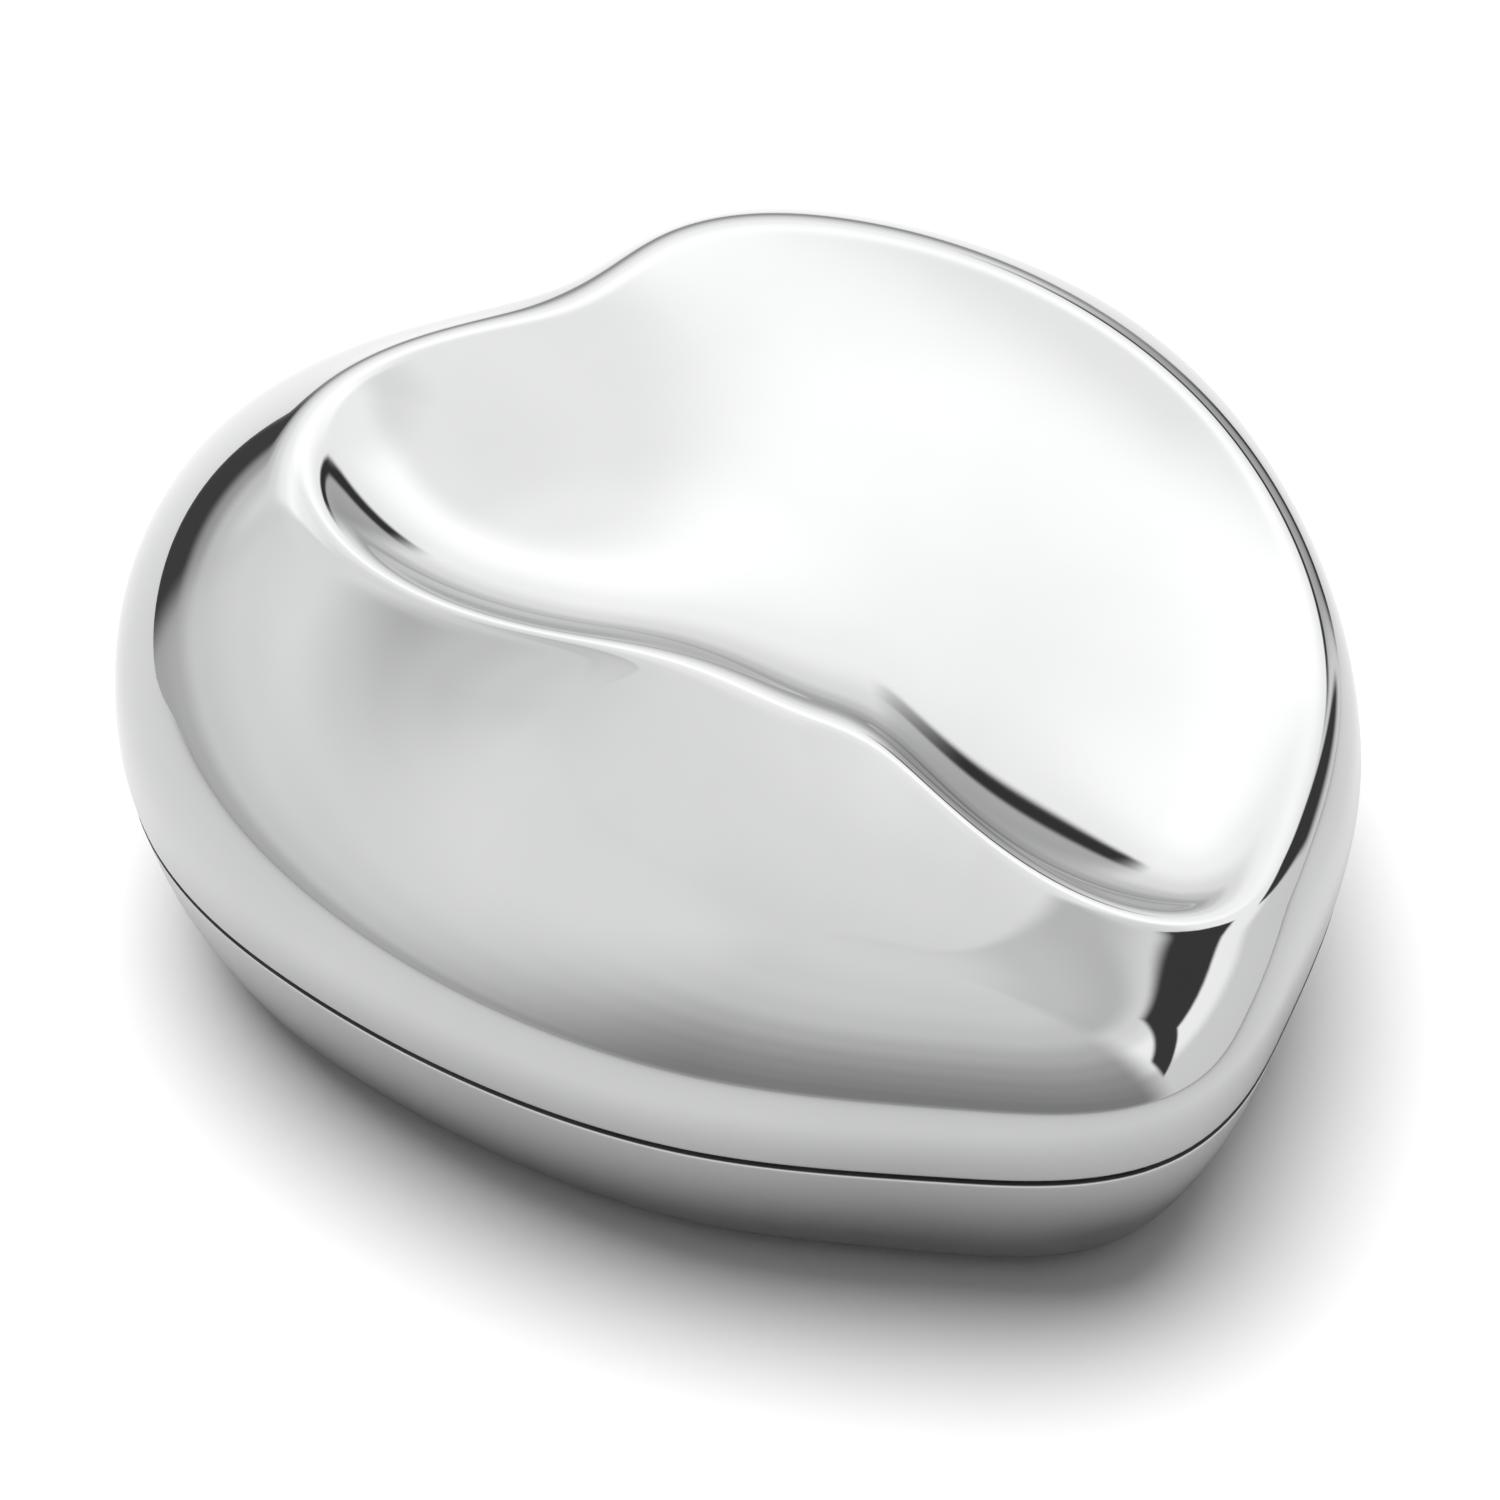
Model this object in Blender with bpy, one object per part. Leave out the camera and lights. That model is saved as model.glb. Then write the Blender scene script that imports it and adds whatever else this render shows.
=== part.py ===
"""Heart-shaped trinket box with a lift-off lid.

Frame: metres, +Z up, origin under the middle of the box.  Z = 0 is the table
under the feet.  The point of the heart faces -Y, the notch between the lobes
faces +Y, and "left" is -X.  The girth is the same left and right; the dished
top is not, its crest sweeps off centre towards +X.

The outer skin is one continuous surface cut by a level joint.  Two curves
describe it: the girth, which is the widest line round the box, and the crest,
which is the rim of the dished top and lies close to a gently tilted plane.
Plan angles run from -Y towards +X.  Sizes are in millimetres.
"""

import math

import bmesh
import bpy
import numpy as np

MM = 0.001

# ---------------------------------------------------------------- outer skin
COLUMNS = 72            # facets around the heart

# Girth stations on one half: degrees from the point, plan radius.
GIRTH_STATIONS = (
    (0.0, 59.5), (20.0, 54.6), (45.0, 51.8), (70.0, 53.0), (95.0, 59.1),
    (120.0, 69.4), (142.0, 74.4), (162.0, 73.7), (180.0, 63.9),
)
GIRTH_Z = 25.9          # height of the widest line

# Crest stations round the crest's own centre: degrees, plan radius, slope of
# the dish just inside the crest, extra rise of the lip next to the crest.
CREST_CENTRE = (11.2, 12.4)
CREST_STATIONS = (
    (-180.0, 35.8, 0.12, 0.6), (-150.0, 36.5, 0.08, 0.5), (-122.0, 52.8, 0.10, 1.2),
    (-97.0, 51.7, 0.36, 5.8), (-74.0, 36.9, 0.38, 6.0), (-56.0, 32.6, 0.26, 3.2),
    (-41.0, 33.5, 0.18, 1.4), (-28.0, 37.2, 0.20, 1.8), (-15.0, 50.6, 0.34, 5.5),
    (0.0, 60.0, 0.38, 8.5), (16.0, 54.9, 0.34, 5.0), (36.0, 48.8, 0.26, 1.4),
    (60.0, 43.9, 0.20, 0.8), (88.0, 40.5, 0.16, 0.6), (118.0, 37.8, 0.14, 0.6),
    (150.0, 36.3, 0.12, 0.6),
)
CREST_DEG, CREST_RADII, DISH_FALL, LIP_RISE = zip(*CREST_STATIONS)
CREST_Z = 47.2                  # height of the crest plane at its centre
CREST_SLOPE = (-0.108, 0.199)   # slope of that plane along X and along Y
CREST_WAVE = (0.74, -0.72)      # rise and fall off the plane, cosine and sine parts

CREST_ROUND = 3.0               # edge radius of the crest
ROUND_SPREAD = 1.8              # length of the rounding against a plain arc's
ROUND_LIMITS = (3.0, 11.0)      # shortest and longest reach of the rounding
ROUND_FULLNESS = 1.12           # end tangents of the rounding against its chord

DISH_DEGREE = 9         # order of the smooth surface that fills the crest
DISH_SPAN = 50.0        # length the surface's terms are scaled by
DISH_SAMPLES = 180      # places round the crest where the surface is fitted
DISH_SLOPE_WEIGHT = 3.0     # how strongly the fit follows the slopes
DISH_CALM_WEIGHT = 0.05     # how strongly the fit damps its higher terms
CREST_LIFT = 0.9        # height of the unrounded crest above the rounded one
LIP_POWER = 7.0         # how close to the crest the extra rise begins

WALL_POWER = 2.37       # how the wall leans in between girth and crest
WALL_RISE = -0.05       # how early the wall gains height
WALL_LEVELS = (0.0, 0.25, 0.5, 0.75, 1.0)   # rows from girth to crest

# Lower side of the body: height, distance drawn in from the girth.
LOWER_SIDE = ((1.5, 9.7), (2.6, 8.2), (6.0, 5.8), (12.0, 3.0), (19.4, 0.83))
BODY_Z = LOWER_SIDE[0][0]               # underside of the base shell
UNDERSIDE_IN = 12.6                     # edge of the flat underside, in from the girth
JOINT_Z, JOINT_DRAWN_IN = LOWER_SIDE[-1]    # middle of the joint between base and lid
JOINT_GAP = 0.3                         # daylight between the two shells

# Where the mesh rings lie, as fractions of each stretch of skin.
BASE_SIDE_AT = (1.0, 0.78, 0.56, 0.34, 0.17, 0.07, 0.0)
LID_SIDE_AT = (0.0, 0.14, 0.32, 0.5, 0.67, 0.84, 1.0)
ROUND_AT = (0.25, 0.42, 0.58, 0.75)
DISH_AT = (1.0, 0.82, 0.6, 0.36)

# ---------------------------------------------------------------- inner pieces
SHELL_T = 1.2           # pressed steel outer shells
PAN_T = 1.0             # pressed steel inner pans
CLEAR = 0.3             # gap left between touching pieces

# Walls are placed by the distance of their outer face in from the girth.
TRAY_IN = 11.5
TRAY_FLOOR_Z = 4.0                      # upper face of the tray floor
TRAY_RIM_Z = JOINT_Z - 1.9              # upper face of the tray's rim flange
TRAY_FLANGE_GAP = CLEAR + 0.8           # from the flange to the shell's inner face
COLLAR_IN = 10.5
COLLAR_T = 1.2
COLLAR_TOP_Z = JOINT_Z + 3.9
LIDPAN_IN = 9.1
LIDPAN_RIM_Z = JOINT_Z + 0.2            # lower face of the lid pan's rim flange
LIDPAN_CEILING_Z = 29.8 - PAN_T         # lower face of the lid pan's ceiling
LIDPAN_FLANGE_GAP = CLEAR + 0.15

# Corner shapes: steps in and along Z from the sharp corner.
PAN_INNER_BEND = ((2.0, 0.0), (0.6, 0.6), (0.0, 2.0))
TRAY_OUTER_BEND = ((0.0, 2.6), (0.5, 1.0), (2.6, 0.0))
LIDPAN_OUTER_BEND = ((0.0, 2.6), (0.7, 0.7), (2.6, 0.0))
COLLAR_BEVEL = ((0.0, 0.5), (0.4, 0.0))
CUSHION_BACK_EDGE = ((0.4, 0.0), (0.0, 0.8))
CUSHION_FACE_EDGE = ((0.0, 1.3), (1.4, 0.3))
CEILING_BACK_EDGE = ((0.3, 0.0), (0.0, 0.5))
CEILING_FACE_EDGE = ((0.0, 1.1), (1.2, 0.2))

BOARD_T = 1.0           # stiffener boards under the padded linings
BOARD_IN = 2.6          # board edge, in from the pan wall's inner face
LINING_T = 1.5          # side lining
BASE_LINING_TOP_Z = COLLAR_TOP_Z - 0.7
LID_LINING_BOTTOM_Z = COLLAR_TOP_Z + 1.0
CUSHION_T = 3.2         # padded floor
CEILING_PAD_T = 2.2     # padded ceiling
PAD_FLAT = 0.75         # share of a pad's plan radius that is flat

FOOT_R = 4.5
FOOT_H = BODY_Z - CLEAR
# Foot centres: X off the heart's centre, Y in the frame.
FEET = {"front": (17.0, -27.0), "rear": (34.0, 22.0)}
BUMPER_R = 2.4
BUMPER_IN = 6.0         # bumper centres, in from the girth
BUMPER_DEG = {"front": 48.0, "rear": 122.0}
BUTTON_SEGMENTS = 20
BUTTON_BEVEL = 0.2

SMOOTH_DEG = 35.0       # edges that turn more than this are shaded sharp


# ---------------------------------------------------------------- curves
def cubic_piece(start, end, start_bend, end_bend, past, ahead, gap):
    """Cubic between two knots from the values and second derivatives there."""
    return ((start_bend * ahead**3 + end_bend * past**3) / (6.0 * gap)
            + (end / gap - end_bend * gap / 6.0) * past
            + (start / gap - start_bend * gap / 6.0) * ahead)


def closed_spline(degrees, values, angle):
    """Smooth closed curve through values given at rising angles in degrees."""
    knots = np.radians(np.append(degrees, degrees[0] + 360.0))
    values = np.append(values, values[0])
    gaps = np.diff(knots)
    before = np.roll(gaps, 1)
    slopes = np.diff(values) / gaps
    count = len(gaps)
    row = np.arange(count)
    matrix = np.diag(2.0 * (before + gaps))
    matrix[row, row - 1] = before
    matrix[row, (row + 1) % count] = gaps
    bend = np.linalg.solve(matrix, 6.0 * (slopes - np.roll(slopes, 1)))
    bend = np.append(bend, bend[0])
    angle = np.mod(angle - knots[0], 2.0 * math.pi) + knots[0]
    k = np.clip(np.searchsorted(knots, angle, side="right") - 1, 0, count - 1)
    return cubic_piece(values[k], values[k + 1], bend[k], bend[k + 1],
                       angle - knots[k], knots[k + 1] - angle, gaps[k])


def open_spline(knots, rows, at):
    """Natural cubic spline through rows of points: position, first and second derivative."""
    count = len(knots)
    gaps = np.diff(knots)
    matrix = np.eye(count)
    for i in range(1, count - 1):
        matrix[i, i - 1:i + 2] = gaps[i - 1], 2.0 * (gaps[i - 1] + gaps[i]), gaps[i]
    target = np.zeros(rows.shape)
    target[1:-1] = 6.0 * np.diff(np.diff(rows, axis=0) / gaps[:, None, None], axis=0)
    bend = np.tensordot(np.linalg.inv(matrix), target, axes=(1, 0))
    at = np.broadcast_to(np.asarray(at, float), rows.shape[2:])
    k = np.clip(np.searchsorted(knots, at, side="right") - 1, 0, count - 2)
    column = np.arange(rows.shape[2])
    past, ahead, gap = at - knots[k], knots[k + 1] - at, gaps[k]
    start, end = rows[k, :, column].T, rows[k + 1, :, column].T
    bend0, bend1 = bend[k, :, column].T, bend[k + 1, :, column].T
    position = cubic_piece(start, end, bend0, bend1, past, ahead, gap)
    first = ((bend1 * past**2 - bend0 * ahead**2) / (2.0 * gap)
             + (end - start) / gap - (bend1 - bend0) * gap / 6.0)
    second = (bend0 * ahead + bend1 * past) / gap
    return position, first, second


def facing(angle):
    """Unit plan vector at an angle from -Y towards +X."""
    return np.array([np.sin(angle), -np.cos(angle)])


def length(vectors):
    return np.sqrt((vectors**2).sum(0))


def cross(first, second):
    return first[0] * second[1] - first[1] * second[0]


def girth_radius(angle):
    """Plan radius of the girth, with its stations reflected about the axis."""
    stations = [(-deg, radius) for deg, radius in GIRTH_STATIONS[:0:-1]]
    stations += GIRTH_STATIONS[:-1]
    return closed_spline(*zip(*stations), angle)


def girth_slant(angle):
    """Radial length per unit of distance square to the girth."""
    step = 1e-4
    slope = (girth_radius(angle + step) - girth_radius(angle - step)) / (2.0 * step)
    return np.sqrt(1.0 + (slope / girth_radius(angle)) ** 2)


def crest_line(angle):
    """Plan radius and height of the crest round its own centre."""
    radius = closed_spline(CREST_DEG, CREST_RADII, angle)
    x, y = radius * facing(angle)
    height = (CREST_Z + CREST_SLOPE[0] * x + CREST_SLOPE[1] * y
              + CREST_WAVE[0] * np.cos(2 * angle) + CREST_WAVE[1] * np.sin(2 * angle))
    return radius, height


# ---------------------------------------------------------------- dish surface
# Powers of x and y in each term of the dish surface.
DISH_POWERS = [(i, j) for i in range(DISH_DEGREE + 1) for j in range(DISH_DEGREE + 1 - i)]


def dish_terms(x, y, x_times=0, y_times=0):
    """Terms of the dish surface, differentiated so many times along X and Y."""
    x = (x - CREST_CENTRE[0]) / DISH_SPAN
    y = (y - CREST_CENTRE[1]) / DISH_SPAN
    return np.array([
        math.perm(i, x_times) * math.perm(j, y_times)
        * x ** max(i - x_times, 0) * y ** max(j - y_times, 0) / DISH_SPAN ** (x_times + y_times)
        for i, j in DISH_POWERS])


def fit_dish():
    """Term weights that best meet the crest's height and the slope just inside it."""
    angle = np.arange(DISH_SAMPLES) * 2.0 * math.pi / DISH_SAMPLES
    radius, height = crest_line(angle)
    x, y = np.array(CREST_CENTRE)[:, None] + radius * facing(angle)
    along = np.array([np.roll(x, -1) - np.roll(x, 1), np.roll(y, -1) - np.roll(y, 1)])
    normal_x, normal_y = np.array([along[1], -along[0]]) / length(along)
    level = dish_terms(x, y).T
    slope = (normal_x * dish_terms(x, y, 1, 0) + normal_y * dish_terms(x, y, 0, 1)).T
    order = np.sum(DISH_POWERS, axis=1)
    calm = np.diag(DISH_CALM_WEIGHT * order**2.0)
    target = np.concatenate([
        height + CREST_LIFT - closed_spline(CREST_DEG, LIP_RISE, angle),
        DISH_SLOPE_WEIGHT * closed_spline(CREST_DEG, DISH_FALL, angle),
        np.zeros(len(order))])
    matrix = np.concatenate([level, DISH_SLOPE_WEIGHT * slope, calm])
    return np.linalg.lstsq(matrix, target, rcond=None)[0]


DISH = fit_dish()


# ---------------------------------------------------------------- skin
class Skin:
    """Outer surface of the box in columns round the heart, as x, y, z arrays.

    Columns fan out at the given angles from the centre of the crest.
    """

    def __init__(self, angle):
        self.centre = np.array(CREST_CENTRE)[:, None]
        self.out = facing(angle)
        girth_angle = self._girth_angle(angle)
        self.radial = facing(girth_angle)
        self.girth = girth_radius(girth_angle) * self.radial
        self.slant = girth_slant(girth_angle)
        self._settle_crest(angle)

    def _girth_angle(self, angle):
        """Angle about the heart's own centre at which each column meets the girth."""
        def miss(guess):
            return cross(girth_radius(guess) * facing(guess) - self.centre, self.out)

        step = 1e-5
        for _ in range(14):
            slope = (miss(angle + step) - miss(angle)) / step
            angle = angle - np.clip(miss(angle) / slope, -0.3, 0.3)
        return angle

    def _settle_crest(self, angle):
        """Move the sharp crest until the rounded crest passes through the crest line."""
        radius, height = crest_line(angle)
        reach = radius
        self.lip = closed_spline(CREST_DEG, LIP_RISE, angle)
        for _ in range(5):
            plan = self.centre + reach * self.out
            self.top = np.array([*plan, DISH @ dish_terms(*plan) + self.lip])
            self._shape_wall()
            middle = self.round_over(0.5)
            reach = reach + radius - ((middle[:2] - self.centre) * self.out).sum(0)
            self.lip = self.lip + height - middle[2]

    def _shape_wall(self):
        """Rows of the wall, and where the rounding leaves the wall and meets the dish."""
        level = np.ones(self.girth.shape[1])
        rows = [np.array([*(self.girth - drawn_in * self.radial), z * level])
                for z, drawn_in in LOWER_SIDE]
        for q in WALL_LEVELS:
            plan = self.girth + (self.top[:2] - self.girth) * q**WALL_POWER
            rise = q + WALL_RISE * q * (1.0 - q)
            rows.append(np.array([*plan, GIRTH_Z + (self.top[2] - GIRTH_Z) * rise]))
        self.rows = np.array(rows)
        steps = np.sqrt((np.diff(self.rows, axis=0) ** 2).sum(1)).mean(1)
        self.knots = np.concatenate([[0.0], np.cumsum(steps)])
        self.joint_at = self.knots[len(LOWER_SIDE) - 1]
        wall_dir = self.wall(self.knots[-1])[1]
        dish_dir = -self.dish(1.0)[1]
        cosine = (wall_dir * dish_dir).sum(0) / length(wall_dir) / length(dish_dir)
        turn = np.arccos(np.clip(cosine, -1, 1))
        reach = np.clip(CREST_ROUND * np.tan(turn / 2.0) * ROUND_SPREAD, *ROUND_LIMITS)
        self.wall_end = self.knots[-1] - reach / length(wall_dir)
        self.dish_edge = 1.0 - reach / length(dish_dir)

    def wall(self, at):
        """Position and derivatives on the wall, at a distance up from its foot."""
        return open_spline(self.knots, self.rows, at)

    def dish(self, fraction):
        """Position and derivatives on the dish, from 0 at its centre to 1 at the crest."""
        f = np.maximum(fraction, 1e-9) * np.ones_like(self.lip)
        span = self.top[:2] - self.centre
        span_x, span_y = span
        x, y = self.centre + f * span
        z = DISH @ dish_terms(x, y) + self.lip * f**LIP_POWER
        rise = (DISH @ (span_x * dish_terms(x, y, 1, 0) + span_y * dish_terms(x, y, 0, 1))
                + self.lip * LIP_POWER * f ** (LIP_POWER - 1))
        bend = (DISH @ (span_x**2 * dish_terms(x, y, 2, 0)
                        + 2 * span_x * span_y * dish_terms(x, y, 1, 1)
                        + span_y**2 * dish_terms(x, y, 0, 2))
                + self.lip * LIP_POWER * (LIP_POWER - 1) * f ** (LIP_POWER - 2))
        flat = np.zeros_like(f)
        return np.array([x, y, z]), np.array([span_x, span_y, rise]), np.array([flat, flat, bend])

    def round_over(self, u):
        """Rounded crest: a fifth-order blend that keeps position, slope and curvature."""
        def frame(position, first, second, sign):
            speed = length(first)
            tangent = first / speed
            curvature = (second - (second * tangent).sum(0) * tangent) / speed**2
            return position, sign * tangent, curvature

        start, tangent0, curvature0 = frame(*self.wall(self.wall_end), 1.0)
        end, tangent1, curvature1 = frame(*self.dish(self.dish_edge), -1.0)
        size = length(end - start) * ROUND_FULLNESS
        return ((1 - 10 * u**3 + 15 * u**4 - 6 * u**5) * start
                + (u - 6 * u**3 + 8 * u**4 - 3 * u**5) * tangent0 * size
                + (0.5 * u**2 - 1.5 * u**3 + 1.5 * u**4 - 0.5 * u**5) * curvature0 * size**2
                + (10 * u**3 - 15 * u**4 + 6 * u**5) * end
                + (-4 * u**3 + 7 * u**4 - 3 * u**5) * tangent1 * size
                + (0.5 * u**3 - u**4 + 0.5 * u**5) * curvature1 * size**2)

    def level_ring(self, distance, height):
        """Level ring a steady distance inside the girth."""
        plan = self.girth - distance * self.slant * self.radial
        return np.array([*plan, height * np.ones_like(self.lip)])

    def base_side(self, v):
        """Side of the base, v = 0 at its lower edge to 1 at the joint."""
        points = self.wall(self.joint_at * v)[0]
        points[2] -= 0.5 * JOINT_GAP * v * v
        return points

    def lid_side(self, v):
        """Side of the lid, v = 0 at the joint to 1 where the crest rounding starts."""
        points = self.wall(self.joint_at + (self.wall_end - self.joint_at) * v)[0]
        points[2] += 0.5 * JOINT_GAP * (1 - v) ** 2
        return points


ANGLES = np.arange(COLUMNS) * 2.0 * math.pi / COLUMNS
SKIN = Skin(ANGLES)

# Rings of the two outer shells, from the joint downwards and upwards.
BASE_RINGS = [SKIN.base_side(v) for v in BASE_SIDE_AT]
LID_RINGS = [SKIN.lid_side(v) for v in LID_SIDE_AT]
LID_RINGS += [SKIN.round_over(u) for u in ROUND_AT]
LID_RINGS += [SKIN.dish(SKIN.dish_edge * f)[0] for f in DISH_AT]

# The heart's own centre, seen from the origin under the middle of the box.
SKIN_X, SKIN_Y, _ = np.concatenate(BASE_RINGS + LID_RINGS, axis=1)
HEART_X = -0.5 * (SKIN_X.max() + SKIN_X.min())
HEART_Y = -0.5 * (SKIN_Y.max() + SKIN_Y.min())


# ---------------------------------------------------------------- inner outlines
# Inner outlines are plan radii about the heart's own centre.
GIRTH = girth_radius(ANGLES)
SLANT = girth_slant(ANGLES)


def inset(distance):
    """Outline that runs a steady distance inside the girth."""
    return GIRTH - distance * SLANT


def inside_joint(gap):
    """Outline a gap inside the shell's inner face at the joint."""
    return inset(SHELL_T + gap) - JOINT_DRAWN_IN


def corner(distance, z, steps, up):
    """Profile rows round a corner, stepping in from the inset and up (1) or down (-1)."""
    return [(inset(distance + step_in), z + up * step_z) for step_in, step_z in steps]


def ring(outline, z):
    """Level ring of an inner piece; an outline of None is the point on the axis."""
    if outline is None:
        return np.array([0.0, 0.0, z])
    return np.array([*(outline * facing(ANGLES)), z * np.ones(COLUMNS)])


# ---------------------------------------------------------------- mesh tools
def in_frame(x, y, z):
    """Millimetres about the heart's own centre to metres in the frame."""
    return (HEART_X + x) * MM, (HEART_Y + y) * MM, z * MM


def finish(bm, name, surface, parent):
    bm.normal_update()
    bmesh.ops.recalc_face_normals(bm, faces=bm.faces)
    mesh = bpy.data.meshes.new(name)
    bm.to_mesh(mesh)
    bm.free()
    mesh.shade_smooth()
    mesh.set_sharp_from_angle(angle=math.radians(SMOOTH_DEG))
    mesh.materials.append(surface)
    obj = bpy.data.objects.new(name, mesh)
    bpy.context.scene.collection.objects.link(obj)
    obj.parent = parent
    return obj


def heart_loft(name, rings, surface, parent, loop=False):
    """A profile spun once about Z, then each of its rings drawn out to the heart.

    A single x, y, z point in place of a ring closes the surface.  With loop
    the last ring joins the first, which makes a closed hoop.
    """
    bm = bmesh.new()
    # Before drawing out, a vertex's Z is the number of its ring.
    verts = [bm.verts.new((0.0 if points.ndim == 1 else 1.0, 0.0, float(i)))
             for i, points in enumerate(rings)]
    for lower, upper in zip(verts, verts[1:]):
        bm.edges.new((lower, upper))
    if loop:
        bm.edges.new((verts[-1], verts[0]))
    bmesh.ops.spin(bm, geom=list(bm.verts) + list(bm.edges), cent=(0, 0, 0), axis=(0, 0, 1),
                   angle=2.0 * math.pi, steps=COLUMNS, use_duplicate=False)
    bmesh.ops.remove_doubles(bm, verts=bm.verts, dist=1e-4)
    for vert in bm.verts:
        points = rings[round(vert.co.z)]
        turn = math.atan2(vert.co.y, vert.co.x) / (2.0 * math.pi)
        column = round(turn * COLUMNS) % COLUMNS
        vert.co = in_frame(*(points if points.ndim == 1 else points[:, column]))
    return finish(bm, name, surface, parent)


def inner_loft(name, profile, surface, parent, loop=False):
    """Loft through a profile of (outline, height) rows."""
    heart_loft(name, [ring(*row) for row in profile], surface, parent, loop)


def shell(name, rings, parent):
    """Outer shell: a skin given the thickness of its metal, inwards."""
    obj = heart_loft(name, rings, STEEL, parent)
    solidify = obj.modifiers.new("sheet_thickness", "SOLIDIFY")
    solidify.thickness = SHELL_T * MM
    solidify.offset = -1.0
    solidify.use_even_offset = True
    solidify.use_quality_normals = True


def button(name, x, y, z0, z1, radius, parent):
    """Small round moulded pad with an eased lower and upper edge."""
    bm = bmesh.new()
    bmesh.ops.create_cone(bm, cap_ends=True, cap_tris=False, segments=BUTTON_SEGMENTS,
                          radius1=radius * MM, radius2=radius * MM, depth=(z1 - z0) * MM)
    rims = [e for e in bm.edges if abs(e.verts[0].co.z - e.verts[1].co.z) < 1e-7]
    bmesh.ops.bevel(bm, geom=rims, offset=BUTTON_BEVEL * MM, segments=1, profile=0.5,
                    affect="EDGES")
    obj = finish(bm, name, SILICONE, parent)
    obj.location = (x * MM, y * MM, 0.5 * (z0 + z1) * MM)


def button_pair(name, x, y, z0, z1, radius, parent):
    """A button either side of the heart's axis."""
    for sign, side in ((-1, "left"), (1, "right")):
        button(f"{name}_{side}", HEART_X + sign * x, y, z0, z1, radius, parent)


# ---------------------------------------------------------------- pieces
# In the pieces shared by base and lid, up is 1 in the base and -1 in the lid.
def pan(name, wall_in, face_z, rim_z, flange, outer_bend, up, parent):
    """Inner pan: floor or ceiling, side wall and a rim flange that reaches out."""
    back_z = face_z - up * PAN_T
    rim_back_z = rim_z - up * PAN_T
    profile = [(None, face_z)]
    profile += corner(wall_in + PAN_T, face_z, PAN_INNER_BEND, up)
    profile += [(inset(wall_in + PAN_T), rim_z), (flange, rim_z)]
    profile += [(flange, rim_back_z), (inset(wall_in), rim_back_z)]
    profile += corner(wall_in, back_z, outer_bend, up)
    profile += [(None, back_z)]
    inner_loft(name, profile, PAN_STEEL, parent)


def lining_board(name, wall_in, face_z, up, parent):
    """Flat heart-shaped plate on a pan's face; returns the height where the padding starts."""
    near_z = face_z + up * CLEAR
    far_z = near_z + up * BOARD_T
    outline = ring(inset(wall_in + PAN_T + BOARD_IN), min(near_z, far_z))
    bm = bmesh.new()
    face = bm.faces.new([bm.verts.new(in_frame(*point)) for point in outline.T])
    extruded = bmesh.ops.extrude_face_region(bm, geom=[face])
    top = [v for v in extruded["geom"] if isinstance(v, bmesh.types.BMVert)]
    bmesh.ops.translate(bm, verts=top, vec=(0, 0, BOARD_T * MM))
    finish(bm, name, CARD, parent)
    return far_z + up * CLEAR


def side_lining(name, wall_in, z0, z1, parent):
    """Lining hoop inside a pan's wall; returns the inset of its inner face."""
    outer_in = wall_in + PAN_T + CLEAR
    inner_in = outer_in + LINING_T
    outer, inner = inset(outer_in), inset(inner_in)
    inner_loft(name, [(outer, z0), (outer, z1), (inner, z1), (inner, z0)], FELT, parent, loop=True)
    return inner_in


def pad(name, edge_in, back_z, thickness, back_edge, face_edge, up, parent):
    """Padded floor or ceiling with a softened edge."""
    face_z = back_z + up * thickness
    profile = [(None, back_z)]
    profile += corner(edge_in, back_z, back_edge, up)
    profile += corner(edge_in, face_z, face_edge, -up)
    profile += [(inset(edge_in) * PAD_FLAT, face_z), (None, face_z)]
    inner_loft(name, profile, FELT, parent)


def locating_collar(parent):
    """Collar that the lid drops over."""
    foot_z = TRAY_RIM_Z + CLEAR
    inner = inset(COLLAR_IN + COLLAR_T)
    profile = [(inset(COLLAR_IN), foot_z)]
    profile += corner(COLLAR_IN, COLLAR_TOP_Z, COLLAR_BEVEL, -1)
    profile += [(inner, COLLAR_TOP_Z), (inner, foot_z)]
    inner_loft("locating_collar", profile, PAN_STEEL, parent, loop=True)


def feet(parent):
    for where, (x, y) in FEET.items():
        button_pair("foot_" + where, x, y, 0.0, FOOT_H, FOOT_R, parent)


def rest_bumpers(parent):
    """Bumpers between the tray's rim and the lid pan's rim."""
    for where, deg in BUMPER_DEG.items():
        radius = np.interp(deg, np.degrees(ANGLES), inset(BUMPER_IN))
        x, y = radius * facing(math.radians(deg))
        button_pair("rest_bumper_" + where, x, HEART_Y + y, TRAY_RIM_Z + CLEAR,
                    LIDPAN_RIM_Z - CLEAR, BUMPER_R, parent)


def build_base(parent):
    underside = SKIN.level_ring(UNDERSIDE_IN, BODY_Z)
    middle = np.array([*CREST_CENTRE, BODY_Z])
    shell("base_shell", BASE_RINGS + [underside, middle], parent)
    pan("base_inner_tray", TRAY_IN, TRAY_FLOOR_Z, TRAY_RIM_Z, inside_joint(TRAY_FLANGE_GAP),
        TRAY_OUTER_BEND, 1, parent)
    locating_collar(parent)
    padding_z = lining_board("base_lining_board", TRAY_IN, TRAY_FLOOR_Z, 1, parent)
    lining_in = side_lining("base_side_lining", TRAY_IN, padding_z, BASE_LINING_TOP_Z, parent)
    pad("base_floor_cushion", lining_in + CLEAR, padding_z, CUSHION_T,
        CUSHION_BACK_EDGE, CUSHION_FACE_EDGE, 1, parent)
    feet(parent)
    rest_bumpers(parent)


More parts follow.
